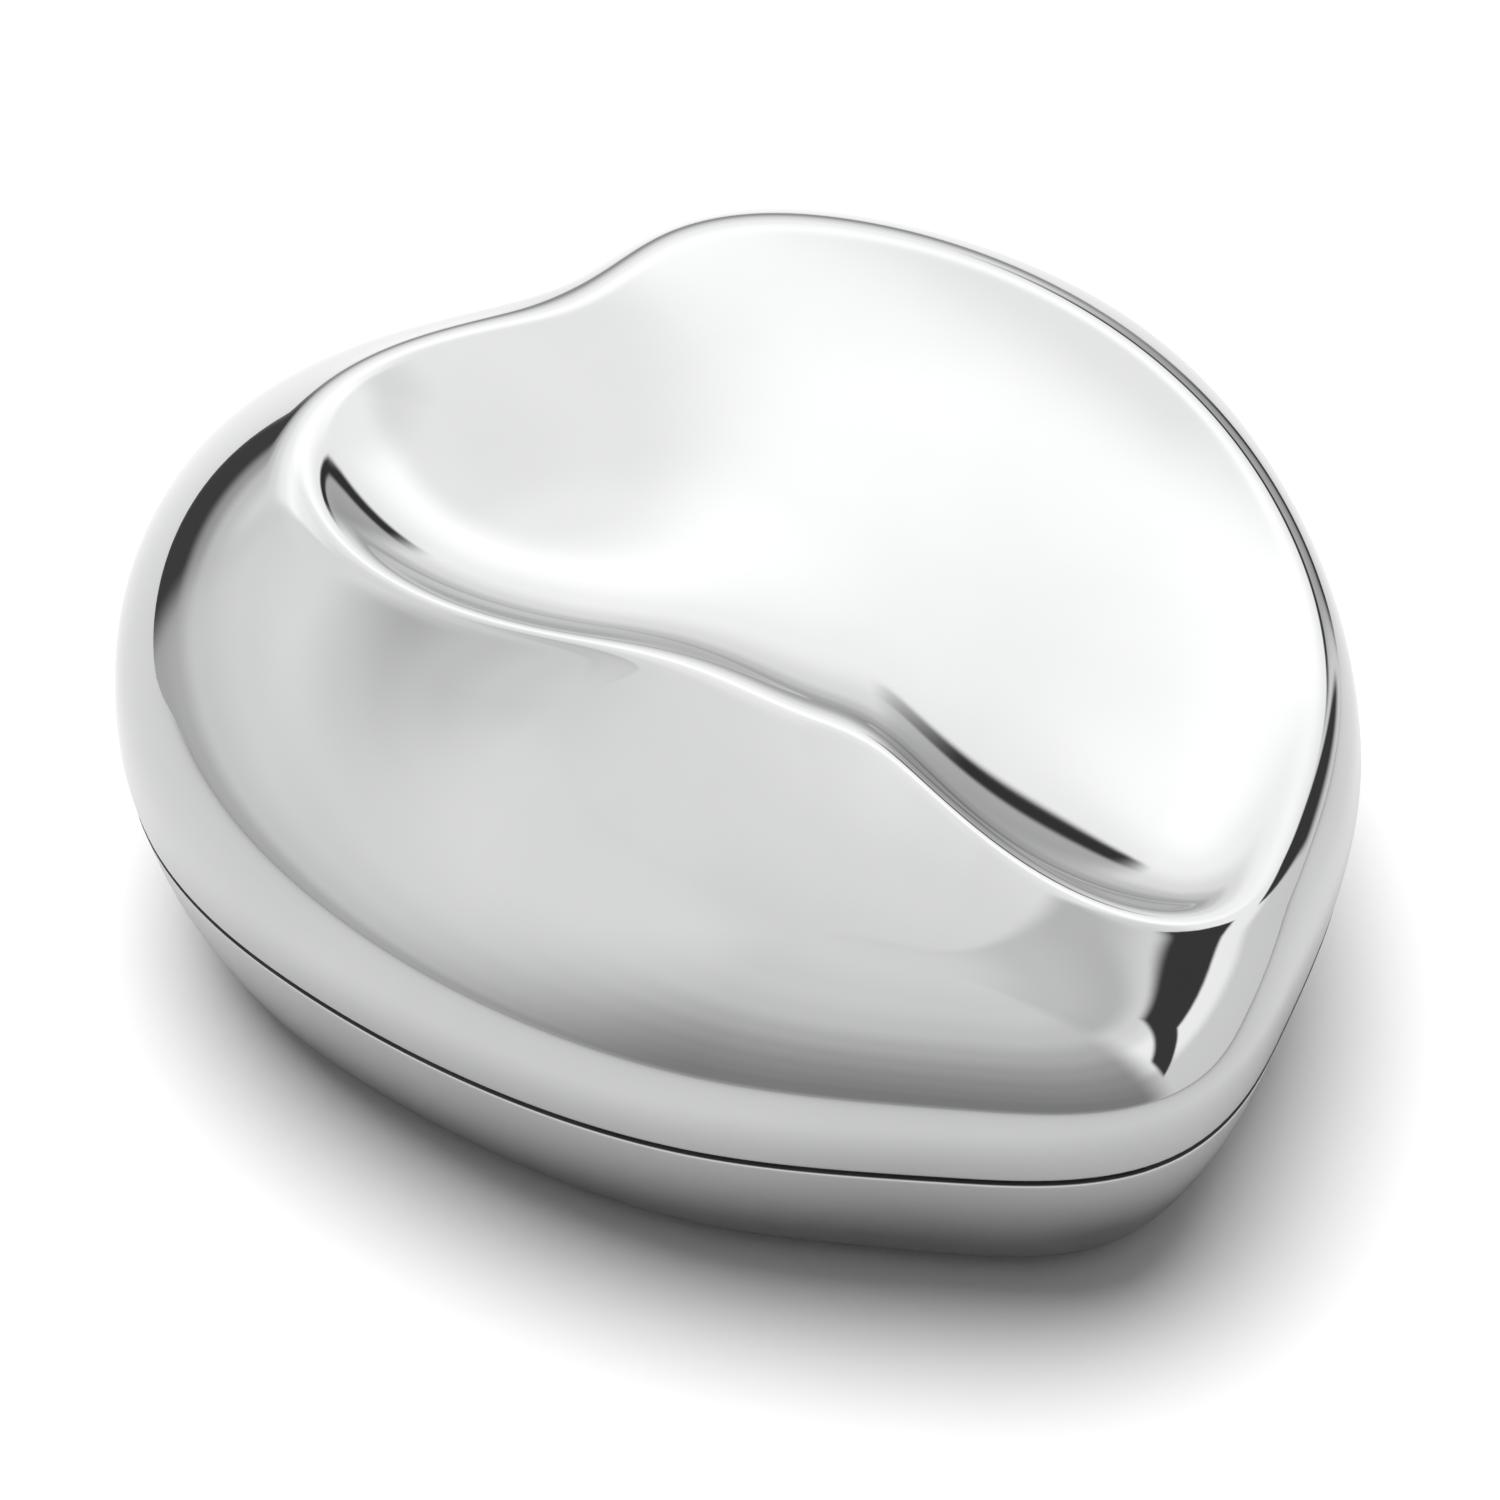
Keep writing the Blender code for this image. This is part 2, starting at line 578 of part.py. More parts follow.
def build_lid(parent):
    middle = SKIN.dish(0.0)[0][:, 0]
    shell("lid_shell", LID_RINGS + [middle], parent)
    pan("lid_inner_pan", LIDPAN_IN, LIDPAN_CEILING_Z, LIDPAN_RIM_Z,
        inside_joint(LIDPAN_FLANGE_GAP), LIDPAN_OUTER_BEND, -1, parent)
    padding_z = lining_board("lid_lining_board", LIDPAN_IN, LIDPAN_CEILING_Z, -1, parent)
    lining_in = side_lining("lid_side_lining", LIDPAN_IN, LID_LINING_BOTTOM_Z, padding_z, parent)
    pad("lid_ceiling_pad", lining_in + CLEAR, padding_z, CEILING_PAD_T,
        CEILING_BACK_EDGE, CEILING_FACE_EDGE, -1, parent)


# ---------------------------------------------------------------- model
def material(name, colour, roughness, metallic):
    result = bpy.data.materials.new(name)
    result.use_nodes = True
    shader = result.node_tree.nodes["Principled BSDF"]
    shader.inputs["Base Color"].default_value = (*colour, 1.0)
    shader.inputs["Roughness"].default_value = roughness
    shader.inputs["Metallic"].default_value = metallic
    result.diffuse_color = (*colour, 1.0)
    return result


def empty(name):
    obj = bpy.data.objects.new(name, None)
    bpy.context.scene.collection.objects.link(obj)
    return obj


for old in list(bpy.data.objects):
    bpy.data.objects.remove(old, do_unlink=True)

STEEL = material("polished_steel", colour=(0.86, 0.86, 0.87), roughness=0.04, metallic=1.0)
PAN_STEEL = material("satin_steel", colour=(0.72, 0.72, 0.73), roughness=0.3, metallic=1.0)
FELT = material("felt_lining", colour=(0.055, 0.055, 0.06), roughness=0.95, metallic=0.0)
CARD = material("lining_board", colour=(0.18, 0.17, 0.16), roughness=0.9, metallic=0.0)
SILICONE = material("clear_silicone", colour=(0.62, 0.63, 0.64), roughness=0.45, metallic=0.0)

build_base(empty("base"))
build_lid(empty("lid"))
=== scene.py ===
"""Heart-shaped trinket box: mirror-polished steel shells, satin inner pans, felt linings,
silicone feet, a white table and a soft studio round it.

The box stands on its feet with +Z up and the point of the heart towards -Y. Box sizes are in
millimetres and become metres when meshes are made. Angles round the heart run from -Y towards
+X. An "inset" is a distance measured inwards from the girth, the widest line of the box.
"""
import math

import bmesh
import bpy
import numpy as np
from mathutils import Matrix, Vector


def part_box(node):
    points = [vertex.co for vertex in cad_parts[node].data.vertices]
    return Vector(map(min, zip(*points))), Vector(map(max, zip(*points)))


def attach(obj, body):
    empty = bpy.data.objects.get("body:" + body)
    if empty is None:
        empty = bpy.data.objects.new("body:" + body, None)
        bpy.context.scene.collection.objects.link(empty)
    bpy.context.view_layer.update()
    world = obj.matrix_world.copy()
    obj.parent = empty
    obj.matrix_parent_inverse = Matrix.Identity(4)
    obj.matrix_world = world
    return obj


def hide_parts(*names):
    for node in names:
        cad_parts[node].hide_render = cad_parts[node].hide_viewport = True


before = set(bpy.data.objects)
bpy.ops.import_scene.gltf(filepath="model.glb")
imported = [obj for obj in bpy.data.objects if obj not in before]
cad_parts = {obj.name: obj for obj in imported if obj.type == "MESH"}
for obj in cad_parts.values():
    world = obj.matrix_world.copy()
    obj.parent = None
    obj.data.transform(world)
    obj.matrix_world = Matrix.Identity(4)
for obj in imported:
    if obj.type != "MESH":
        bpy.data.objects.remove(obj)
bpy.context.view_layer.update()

MM = 0.001

# ------------------------------------------------ shape of the outer surface (mm)
# Girth: degrees from the point of the heart, plan radius. The other half is its mirror image.
GIRTH_STATIONS = (
    (0.0, 59.5), (20.0, 54.6), (45.0, 51.8), (70.0, 53.0), (95.0, 59.1),
    (120.0, 69.4), (142.0, 74.4), (162.0, 73.7), (180.0, 63.9))
GIRTH_Z = 25.9

# Crest, round its own centre: degrees, plan radius, slope of the dish just inside the crest,
# extra rise next to the crest.
CREST_CENTRE = (11.2, 12.4)
CREST_STATIONS = (
    (-180.0, 35.8, 0.12, 0.6), (-150.0, 36.5, 0.08, 0.5), (-122.0, 52.8, 0.10, 1.2),
    (-97.0, 51.7, 0.36, 5.8), (-74.0, 36.9, 0.38, 6.0), (-56.0, 32.6, 0.26, 3.2),
    (-41.0, 33.5, 0.18, 1.4), (-28.0, 37.2, 0.20, 1.8), (-15.0, 50.6, 0.34, 5.5),
    (0.0, 60.0, 0.38, 8.5), (16.0, 54.9, 0.34, 5.0), (36.0, 48.8, 0.26, 1.4),
    (60.0, 43.9, 0.20, 0.8), (88.0, 40.5, 0.16, 0.6), (118.0, 37.8, 0.14, 0.6),
    (150.0, 36.3, 0.12, 0.6))
CREST_DEG, CREST_R, DISH_FALL, LIP_RISE = zip(*CREST_STATIONS)
CREST_TILT = (47.2, -0.108, 0.199)  # height at the centre, slope along X, slope along Y
CREST_WAVE = (0.74, -0.72)          # cosine and sine parts of its rise and fall off that plane
CREST_ROUND = 3.0                   # edge radius
ROUND_SPREAD = 1.8                  # length of the rounding against a plain arc's
ROUND_REACH = (3.0, 11.0)           # least and most length of the rounding on either side
ROUND_FULLNESS = 1.12               # end speed of the rounding against its chord
CREST_LIFT = 0.9                    # height of the unrounded crest above the rounded one

DISH_DEGREE = 9                     # order of the polynomial surface inside the crest
DISH_SPAN = 50.0                    # length its terms are scaled by
DISH_POWERS = [(i, j) for i in range(DISH_DEGREE + 1) for j in range(DISH_DEGREE + 1 - i)]
SLOPE_WEIGHT = 3.0                  # weight of slope against height in the dish fit
CALM_WEIGHT = 0.05                  # how strongly high orders are held down in the fit
LIP_POWER = 7.0                     # how close to the crest the extra rise begins

WALL_POWER = 2.37                   # how the wall leans in between girth and crest
WALL_RISE = -0.05                   # how early the wall gains height
# Lower side of the body: height, inset.
LOWER_SIDE = ((1.5, 9.7), (2.6, 8.2), (6.0, 5.8), (12.0, 3.0), (19.4, 0.83))
BODY_Z = LOWER_SIDE[0][0]           # underside of the base shell
SEAM_Z, SEAM_IN = LOWER_SIDE[-1]    # middle of the joint between base and lid
SEAM_GAP = 0.3                      # daylight between the two shells
SOLE_IN = 12.6                      # inset at which the underside becomes level

# ------------------------------------------------ sheet metal and linings (mm)
SHELL_T = 1.2
SHELL_SHRINK = (0.9975, 0.9992)     # plan and height scale of the shells
PAN_T = 1.0
CLEAR = 0.3                         # gap left between touching pieces

TRAY_IN = 11.5                      # outer face of the tray wall
TRAY_FLOOR_Z = 4.0                  # upper face of the tray floor
TRAY_RIM_Z = SEAM_Z - 1.9           # upper face of the tray's flange
TRAY_FLANGE_IN = 2.4 + SEAM_IN
COLLAR_IN = 10.5                    # outer face of the locating collar
COLLAR_T = 1.2
COLLAR_BOTTOM_Z = TRAY_RIM_Z + CLEAR
COLLAR_TOP_Z = SEAM_Z + 3.9
COLLAR_ROUND = 0.49
LIDPAN_IN = 9.1                     # outer face of the lid pan wall
LIDPAN_RIM_Z = SEAM_Z + 0.2         # lower face of the lid pan's flange
LIDPAN_CEIL_Z = 29.8 - PAN_T        # lower face of the lid pan's ceiling
LIDPAN_FLANGE_IN = 1.75 + SEAM_IN

LINING_T = 1.5
BOARD_T = 1.0
BOARD_GAP = 2.6                     # from pan wall to board edge
BOARD_EASE = 0.1                    # bevel of the board edges
CUSHION_T = 3.2                     # padded floor
CEILING_PAD_T = 2.2                 # padded ceiling
TRAY_BOARD_TOP_Z = TRAY_FLOOR_Z + CLEAR + BOARD_T
LID_BOARD_TOP_Z = LIDPAN_CEIL_Z - CLEAR
LID_BOARD_LOW_Z = LID_BOARD_TOP_Z - BOARD_T


# ------------------------------------------------ curves
def cubic_piece(bend0, bend1, level0, level1, past, left, gap):
    """Value on one span of a cubic spline, `past` its start and `left` before its end."""
    return ((bend0 * left**3 + bend1 * past**3) / (6 * gap)
            + (level0 / gap - bend0 * gap / 6) * left
            + (level1 / gap - bend1 * gap / 6) * past)


def closed_spline(degrees, values, angle):
    """Smooth closed curve through values given at rising angles in degrees."""
    knots = np.radians(np.append(degrees, degrees[0] + 360.0))
    levels = np.append(values, values[0])
    count = len(knots) - 1
    gaps = np.diff(knots)
    slopes = np.diff(levels) / gaps
    system = np.zeros((count, count))
    target = np.zeros(count)
    for i in range(count):
        before, after = gaps[i - 1], gaps[i]
        system[i, (i - 1) % count] += before
        system[i, i] += 2.0 * (before + after)
        system[i, (i + 1) % count] += after
        target[i] = 6.0 * (slopes[i] - slopes[i - 1])
    bends = np.linalg.solve(system, target)
    bends = np.append(bends, bends[0])
    wrapped = np.mod(np.asarray(angle) - knots[0], 2.0 * math.pi) + knots[0]
    k = np.clip(np.searchsorted(knots, wrapped, side="right") - 1, 0, count - 1)
    return cubic_piece(bends[k], bends[k + 1], levels[k], levels[k + 1],
                       wrapped - knots[k], knots[k + 1] - wrapped, gaps[k])


def open_spline(knots, points, t):
    """Natural cubic spline through rows of points: position, first and second derivative."""
    count = len(knots)
    gaps = np.diff(knots)
    system = np.zeros((count, count))
    system[0, 0] = system[-1, -1] = 1.0
    target = np.zeros(points.shape)
    for i in range(1, count - 1):
        system[i, i - 1] = gaps[i - 1]
        system[i, i] = 2.0 * (gaps[i - 1] + gaps[i])
        system[i, i + 1] = gaps[i]
        target[i] = 6.0 * ((points[i + 1] - points[i]) / gaps[i]
                           - (points[i] - points[i - 1]) / gaps[i - 1])
    bends = np.tensordot(np.linalg.inv(system), target, axes=(1, 0))
    t = np.broadcast_to(np.asarray(t, float), points.shape[2:])
    k = np.clip(np.searchsorted(knots, t, side="right") - 1, 0, count - 2)
    column = np.arange(points.shape[2])
    past = t - np.asarray(knots)[k]
    left = np.asarray(knots)[k + 1] - t
    gap = gaps[k]
    bend0, bend1 = bends[k, :, column].T, bends[k + 1, :, column].T
    point0, point1 = points[k, :, column].T, points[k + 1, :, column].T
    position = cubic_piece(bend0, bend1, point0, point1, past, left, gap)
    velocity = ((bend1 * past**2 - bend0 * left**2) / (2 * gap)
                + (point1 - point0) / gap - (bend1 - bend0) * gap / 6)
    acceleration = (bend0 * left + bend1 * past) / gap
    return position, velocity, acceleration


def facing(angle):
    """Plan direction of an angle round the heart."""
    return np.array([np.sin(angle), -np.cos(angle)])


def girth_radius(angle):
    stations = [(-deg, radius) for deg, radius in GIRTH_STATIONS[:0:-1]]
    stations += GIRTH_STATIONS[:-1]
    return closed_spline(*zip(*stations), angle)


def girth_slant(angle):
    """Radial length of a unit step square to the girth."""
    probe = 1e-4
    slope = (girth_radius(angle + probe) - girth_radius(angle - probe)) / (2 * probe)
    return np.sqrt(1.0 + (slope / girth_radius(angle)) ** 2)


def crest_line(angle):
    """Plan radius and height of the crest round its own centre."""
    radius = closed_spline(CREST_DEG, CREST_R, angle)
    out = facing(angle)
    middle, slope_x, slope_y = CREST_TILT
    height = (middle + slope_x * radius * out[0] + slope_y * radius * out[1]
              + CREST_WAVE[0] * np.cos(2 * angle) + CREST_WAVE[1] * np.sin(2 * angle))
    return radius, height


def dish_terms(x, y, dx=0, dy=0):
    """Terms of the dish surface, differentiated dx times along X and dy times along Y."""
    x = (x - CREST_CENTRE[0]) / DISH_SPAN
    y = (y - CREST_CENTRE[1]) / DISH_SPAN
    return np.array([math.perm(i, dx) * math.perm(j, dy) * x ** max(i - dx, 0)
                     * y ** max(j - dy, 0) / DISH_SPAN ** (dx + dy) for i, j in DISH_POWERS])


def fit_dish():
    """Factors of one smooth surface with the crest's height and the slope just inside it."""
    angle = np.arange(180) * math.pi / 90.0
    radius, height = crest_line(angle)
    x, y = np.array(CREST_CENTRE)[:, None] + radius * facing(angle)
    along = np.array([np.roll(x, -1) - np.roll(x, 1), np.roll(y, -1) - np.roll(y, 1)])
    out_x, out_y = np.array([along[1], -along[0]]) / np.hypot(*along)
    lip = closed_spline(CREST_DEG, LIP_RISE, angle)
    fall = closed_spline(CREST_DEG, DISH_FALL, angle)
    slope = (out_x * dish_terms(x, y, dx=1) + out_y * dish_terms(x, y, dy=1)).T
    order = np.array([i + j for i, j in DISH_POWERS])
    calm = np.diag(CALM_WEIGHT * order**2.0)
    rows = np.concatenate([dish_terms(x, y).T, SLOPE_WEIGHT * slope, calm])
    target = np.concatenate([height + CREST_LIFT - lip, SLOPE_WEIGHT * fall,
                             np.zeros(len(order))])
    return np.linalg.lstsq(rows, target, rcond=None)[0]


DISH = fit_dish()


class Skin:
    """Outer surface of the box in columns round the heart, as x, y, z arrays (mm).

    Columns fan out at the given angles from the centre of the crest.
    """

    def __init__(self, angle):
        self.centre = np.array(CREST_CENTRE)[:, None]
        self.out = facing(angle)
        # Newton steps to the angle about the heart's own centre where each column meets
        # the girth.
        probe, limit = 1e-5, 0.3
        meet = np.array(angle, float)
        for _ in range(14):
            miss = self._across(meet)
            rate = (self._across(meet + probe) - miss) / probe
            meet = meet - np.clip(miss / rate, -limit, limit)
        self.radial = facing(meet)
        self.girth = girth_radius(meet) * self.radial
        self.slant = girth_slant(meet)
        self.crest_radius, crest_height = crest_line(angle)
        # The sharp crest that the rounding starts from is moved until the rounded crest
        # passes through the stated line.
        reach = self.crest_radius.copy()
        self.lip = closed_spline(CREST_DEG, LIP_RISE, angle)
        for _ in range(5):
            plan = self.centre + reach * self.out
            self.top = np.array([*plan, DISH @ dish_terms(*plan) + self.lip])
            self._shape_wall()
            middle = self.round_over(0.5)
            reached = ((middle[:2] - self.centre) * self.out).sum(0)
            reach = reach + self.crest_radius - reached
            self.lip = self.lip + crest_height - middle[2]

    def _across(self, angle):
        """Sideways distance of a girth point from its column."""
        off = girth_radius(angle) * facing(angle) - self.centre
        return off[0] * self.out[1] - off[1] * self.out[0]

    def _shape_wall(self):
        """Spline rows of the wall, and where the rounding leaves the wall and the dish."""
        level = np.ones_like(self.crest_radius)
        rows = [np.array([*(self.girth - inset * self.radial), z * level])
                for z, inset in LOWER_SIDE]
        for part in (0.0, 0.25, 0.5, 0.75, 1.0):
            plan = self.girth + (self.top[:2] - self.girth) * part**WALL_POWER
            rise = part + WALL_RISE * part * (1.0 - part)
            rows.append(np.array([*plan, GIRTH_Z + (self.top[2] - GIRTH_Z) * rise]))
        self.rows = np.array(rows)
        steps = np.sqrt((np.diff(self.rows, axis=0) ** 2).sum(1)).mean(1)
        self.knots = np.concatenate([[0.0], np.cumsum(steps)])
        self.seam_t = self.knots[len(LOWER_SIDE) - 1]
        wall_way = self.wall(self.knots[-1])[1]
        dish_way = -self.dish(1.0)[1]
        wall_speed = np.sqrt((wall_way**2).sum(0))
        dish_speed = np.sqrt((dish_way**2).sum(0))
        cosine = (wall_way * dish_way).sum(0) / wall_speed / dish_speed
        turn = np.arccos(np.clip(cosine, -1, 1))
        reach = np.clip(CREST_ROUND * np.tan(turn / 2.0) * ROUND_SPREAD, *ROUND_REACH)
        self.round_t = self.knots[-1] - reach / wall_speed
        self.round_part = 1.0 - reach / dish_speed

    def wall(self, t):
        return open_spline(self.knots, self.rows, t)

    def dish(self, part):
        """Dish from its centre (part 0) to the sharp crest (part 1), with two derivatives."""
        part = np.maximum(part, 1e-9) * np.ones_like(self.crest_radius)
        out = self.top[:2] - self.centre
        out_x, out_y = out
        x, y = self.centre + part * out
        k = LIP_POWER
        z = DISH @ dish_terms(x, y) + self.lip * part**k
        slope = (DISH @ (out_x * dish_terms(x, y, dx=1) + out_y * dish_terms(x, y, dy=1))
                 + self.lip * k * part**(k - 1))
        bend = (DISH @ (out_x**2 * dish_terms(x, y, dx=2)
                        + 2 * out_x * out_y * dish_terms(x, y, dx=1, dy=1)
                        + out_y**2 * dish_terms(x, y, dy=2))
                + self.lip * k * (k - 1) * part**(k - 2))
        still = 0 * out_x
        return np.array([x, y, z]), np.array([*out, slope]), np.array([still, still, bend])

    def round_over(self, u):
        """Rounded crest: a fifth-order blend that keeps position, slope and curvature."""
        def end(position, velocity, acceleration, sign):
            speed = np.sqrt((velocity**2).sum(0))
            way = velocity / speed
            curve = (acceleration - (acceleration * way).sum(0) * way) / speed**2
            return position, sign * way, curve

        point0, way0, curve0 = end(*self.wall(self.round_t), 1.0)
        point1, way1, curve1 = end(*self.dish(self.round_part), -1.0)
        length = np.sqrt(((point1 - point0) ** 2).sum(0)) * ROUND_FULLNESS
        u2, u3, u4, u5 = u * u, u**3, u**4, u**5
        return ((1 - 10 * u3 + 15 * u4 - 6 * u5) * point0
                + (u - 6 * u3 + 8 * u4 - 3 * u5) * (way0 * length)
                + (0.5 * u2 - 1.5 * u3 + 1.5 * u4 - 0.5 * u5) * (curve0 * length**2)
                + (10 * u3 - 15 * u4 + 6 * u5) * point1
                + (-4 * u3 + 7 * u4 - 3 * u5) * (way1 * length)
                + (0.5 * u3 - u4 + 0.5 * u5) * (curve1 * length**2))

    def level_ring(self, inset, height):
        plan = self.girth - inset * self.slant * self.radial
        return np.array([*plan, height * np.ones_like(self.crest_radius)])

    def base_side(self, part):
        """Side of the base, from its lower edge (0) to the joint (1)."""
        position = self.wall(self.seam_t * part)[0].copy()
        position[2] -= 0.5 * SEAM_GAP * part * part
        return position

    def lid_side(self, part):
        """Side of the lid, from the joint (0) to where the crest rounding starts (1)."""
        position = self.wall(self.seam_t + (self.round_t - self.seam_t) * part)[0].copy()
        position[2] += 0.5 * SEAM_GAP * (1 - part) ** 2
        return position


COLUMNS = 360
ANGLES = np.arange(COLUMNS) * 2.0 * math.pi / COLUMNS
SKIN = Skin(ANGLES)
GIRTH = girth_radius(ANGLES)
SLANT = girth_slant(ANGLES)


def find_heart_centre():
    """Place of the heart's own centre (mm), from the plan box of the CAD lid shell."""
    low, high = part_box("lid_shell")
    side = np.concatenate([SKIN.lid_side(part) for part in np.linspace(0, 1, 30)], axis=1)
    return [0.5 / MM * (low[i] + high[i]) - 0.5 * (side[i].max() + side[i].min())
            for i in (0, 1)]


HEART_X, HEART_Y = find_heart_centre()


# ------------------------------------------------ mesh building
def heart_ring(inset, height, extra=0.0):
    """Ring inside the girth, `extra` added to its radius; no inset gives the centre point."""
    if inset is None:
        return np.array([0.0, 0.0, height])
    radius = GIRTH - inset * SLANT + extra
    return np.array([*(radius * facing(ANGLES)), height * np.ones(COLUMNS)])


def bend(before, corner, after, radius, steps=6):
    """Points of a rounded corner between two profile points, as (inset, height)."""
    before, corner, after = (np.array(point, float) for point in (before, corner, after))

    def cut(point):
        length = np.linalg.norm(point - corner)
        return corner + (point - corner) / length * min(radius, 0.49 * length)

    start, end = cut(before), cut(after)
    return [tuple((1 - t) ** 2 * start + 2 * t * (1 - t) * corner + t * t * end)
            for t in np.linspace(0, 1, steps)]


def mesh_object(name, verts, faces, material):
    mesh = bpy.data.meshes.new(name)
    mesh.from_pydata([tuple(vert) for vert in verts], [], faces)
    mesh.validate()
    bm = bmesh.new()
    bm.from_mesh(mesh)
    bm.normal_update()
    bmesh.ops.recalc_face_normals(bm, faces=bm.faces)
    bm.to_mesh(mesh)
    bm.free()
    mesh.shade_smooth()
    mesh.materials.append(material)
    obj = bpy.data.objects.new(name, mesh)
    bpy.context.scene.collection.objects.link(obj)
    return obj


def ring_skin(name, rings, material, columns, loop=False):
    """Skin through rings of points (m); a 1-D entry closes the skin in a point."""
    verts, faces, start = [], [], []
    for points in rings:
        start.append(len(verts))
        if points.ndim == 1:
            verts.append(points)
        else:
            verts.extend(points.T)
    pairs = list(zip(range(len(rings) - 1), range(1, len(rings))))
    if loop:
        pairs.append((len(rings) - 1, 0))
    for a, b in pairs:
        first, second = start[a], start[b]
        for j in range(columns):
            k = (j + 1) % columns
            if rings[a].ndim == 1:
                faces.append((first, second + k, second + j))
            elif rings[b].ndim == 1:
                faces.append((first + j, first + k, second))
            else:
                faces.append((first + j, first + k, second + k, second + j))
    return mesh_object(name, verts, faces, material)


def loft(name, rings, material, loop=False, sharp=40.0):
    """Skin through rings round the heart's own centre (mm), with hard edges above `sharp`."""
    offset = np.array([HEART_X, HEART_Y, 0.0])
    placed = [(points.T + offset).T * MM for points in rings]
    obj = ring_skin(name, placed, material, COLUMNS, loop)
    obj.data.set_sharp_from_angle(angle=math.radians(sharp))
    return obj


def stand_in(obj, node, body):
    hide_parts(node)
    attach(obj, body)


# ------------------------------------------------ shader nodes
def set_inputs(tree, node, inputs):
    """Set node inputs by name or number: sockets are linked, anything else is a value."""
    for key, value in inputs.items():
        if isinstance(value, bpy.types.NodeSocket):
            tree.links.new(value, node.inputs[key])
        else:
            node.inputs[key].default_value = value


def add_node(tree, kind, inputs=None, **settings):
    node = tree.nodes.new("ShaderNode" + kind)
    for setting, value in settings.items():
        setattr(node, setting, value)
    set_inputs(tree, node, inputs or {})
    return node


def calculate(tree, operation, *values):
    return add_node(tree, "Math", dict(enumerate(values)), operation=operation).outputs[0]


def mix_colour(tree, factor, a, b, blend_type="MIX"):
    return add_node(tree, "Mix", {0: factor, 6: a, 7: b}, data_type="RGBA",
                    blend_type=blend_type).outputs[2]


def remap(tree, value, low, high):
    """Spread 0..1 over low..high."""
    inputs = {"To Min": low, "To Max": high, "Value": value}
    return add_node(tree, "MapRange", inputs).outputs["Result"]


def smooth_step(tree, value, zero_at, one_at):
    inputs = {"From Min": zero_at, "From Max": one_at, "Value": value}
    return add_node(tree, "MapRange", inputs,
                    interpolation_type="SMOOTHSTEP").outputs["Result"]


def coordinates(tree, scale=(1, 1, 1)):
    """Object coordinates; unequal scales draw the pattern out into lines."""
    place = add_node(tree, "TexCoord").outputs["Object"]
    return add_node(tree, "Mapping", {"Scale": scale, "Vector": place}).outputs["Vector"]


def noise(tree, vector, scale=1.0, detail=4.0, roughness=0.5):
    return add_node(tree, "TexNoise", {"Scale": scale, "Detail": detail,
                                       "Roughness": roughness,
                                       "Vector": vector}).outputs["Fac"]


def ramp(tree, value, dark, light, dark_at=0.3, light_at=0.7):
    node = add_node(tree, "ValToRGB", {"Fac": value})
    stops = ((dark_at, dark), (light_at, light))
    for element, (position, colour) in zip(node.color_ramp.elements, stops):
        element.position = position
        element.color = (*colour, 1)
    return node.outputs["Color"]


def bump(tree, height, strength, distance):
    inputs = {"Strength": strength, "Distance": distance, "Height": height}
    return add_node(tree, "Bump", inputs).outputs["Normal"]


def new_material(name):
    material = bpy.data.materials.new(name)
    material.use_nodes = True
    return material, material.node_tree


def shaded(material, inputs):
    """Give a material's Principled shader its inputs."""
    tree = material.node_tree
    set_inputs(tree, tree.nodes["Principled BSDF"], inputs)
    return material


# ------------------------------------------------ materials
def mirror_steel():
    """Near-perfect mirror with hairline buffing swirls and faint haze patches."""
    material, tree = new_material("mirror_polished_steel")
    haze = noise(tree, coordinates(tree), scale=38.0, detail=3.0, roughness=0.55)
    swirl = noise(tree, coordinates(tree, scale=(260, 260, 1500)), detail=2.0, roughness=0.6)
    fine = noise(tree, coordinates(tree, scale=(700, 700, 2400)), detail=2.0)
    return shaded(material, {
        "Base Color": ramp(tree, haze, dark=(0.585, 0.588, 0.592), light=(0.615, 0.617, 0.620)),
        "Roughness": calculate(tree, "MULTIPLY", remap(tree, haze, low=0.6, high=1.3),
                               remap(tree, swirl, low=0.024, high=0.040)),
        "Metallic": 1.0,
        "Normal": bump(tree, fine, strength=0.012, distance=0.00002),
    })


def satin_steel():
    """Satin pan steel with fine level lines."""
    material, tree = new_material("satin_pan_steel")
    lines = noise(tree, coordinates(tree, scale=(120, 120, 9000)), detail=5.0, roughness=0.7)
    haze = noise(tree, coordinates(tree), scale=60.0, detail=3.0)
    return shaded(material, {
        "Base Color": ramp(tree, lines, dark=(0.44, 0.44, 0.45), light=(0.60, 0.60, 0.61)),
        "Roughness": remap(tree, haze, low=0.24, high=0.36),
        "Metallic": 1.0,
        "Anisotropic": 0.5,
        "Normal": bump(tree, lines, strength=0.12, distance=0.00003),
    })


def flocked_felt():
    """Soft mottled nap of fibres, with a pale sheen at grazing angles."""
    light = (0.045, 0.045, 0.052)
    material, tree = new_material("charcoal_flocked_felt")
    vector = coordinates(tree)
    fibre = noise(tree, vector, scale=2600.0, detail=6.0, roughness=0.75)
    clump = noise(tree, vector, scale=320.0, roughness=0.6)
    nap = noise(tree, vector, scale=45.0, detail=3.0)
    clump_share = 0.45
    pile = add_node(tree, "Mix", {0: clump_share, 2: fibre, 3: clump},
                    data_type="FLOAT").outputs[0]
    tint = calculate(tree, "ADD", pile, remap(tree, nap, low=-0.12, high=0.12))
    return shaded(material, {
        "Base Color": ramp(tree, tint, dark=(0.012, 0.012, 0.014), light=light),
        "Roughness": 0.95,
        "Sheen Weight": 0.6,
        "Sheen Roughness": 0.45,
        "Sheen Tint": (*[min(1.0, 4 * channel) for channel in light], 1),
        "Specular IOR Level": 0.15,
        "Normal": bump(tree, pile, strength=0.7, distance=0.00025),
    })


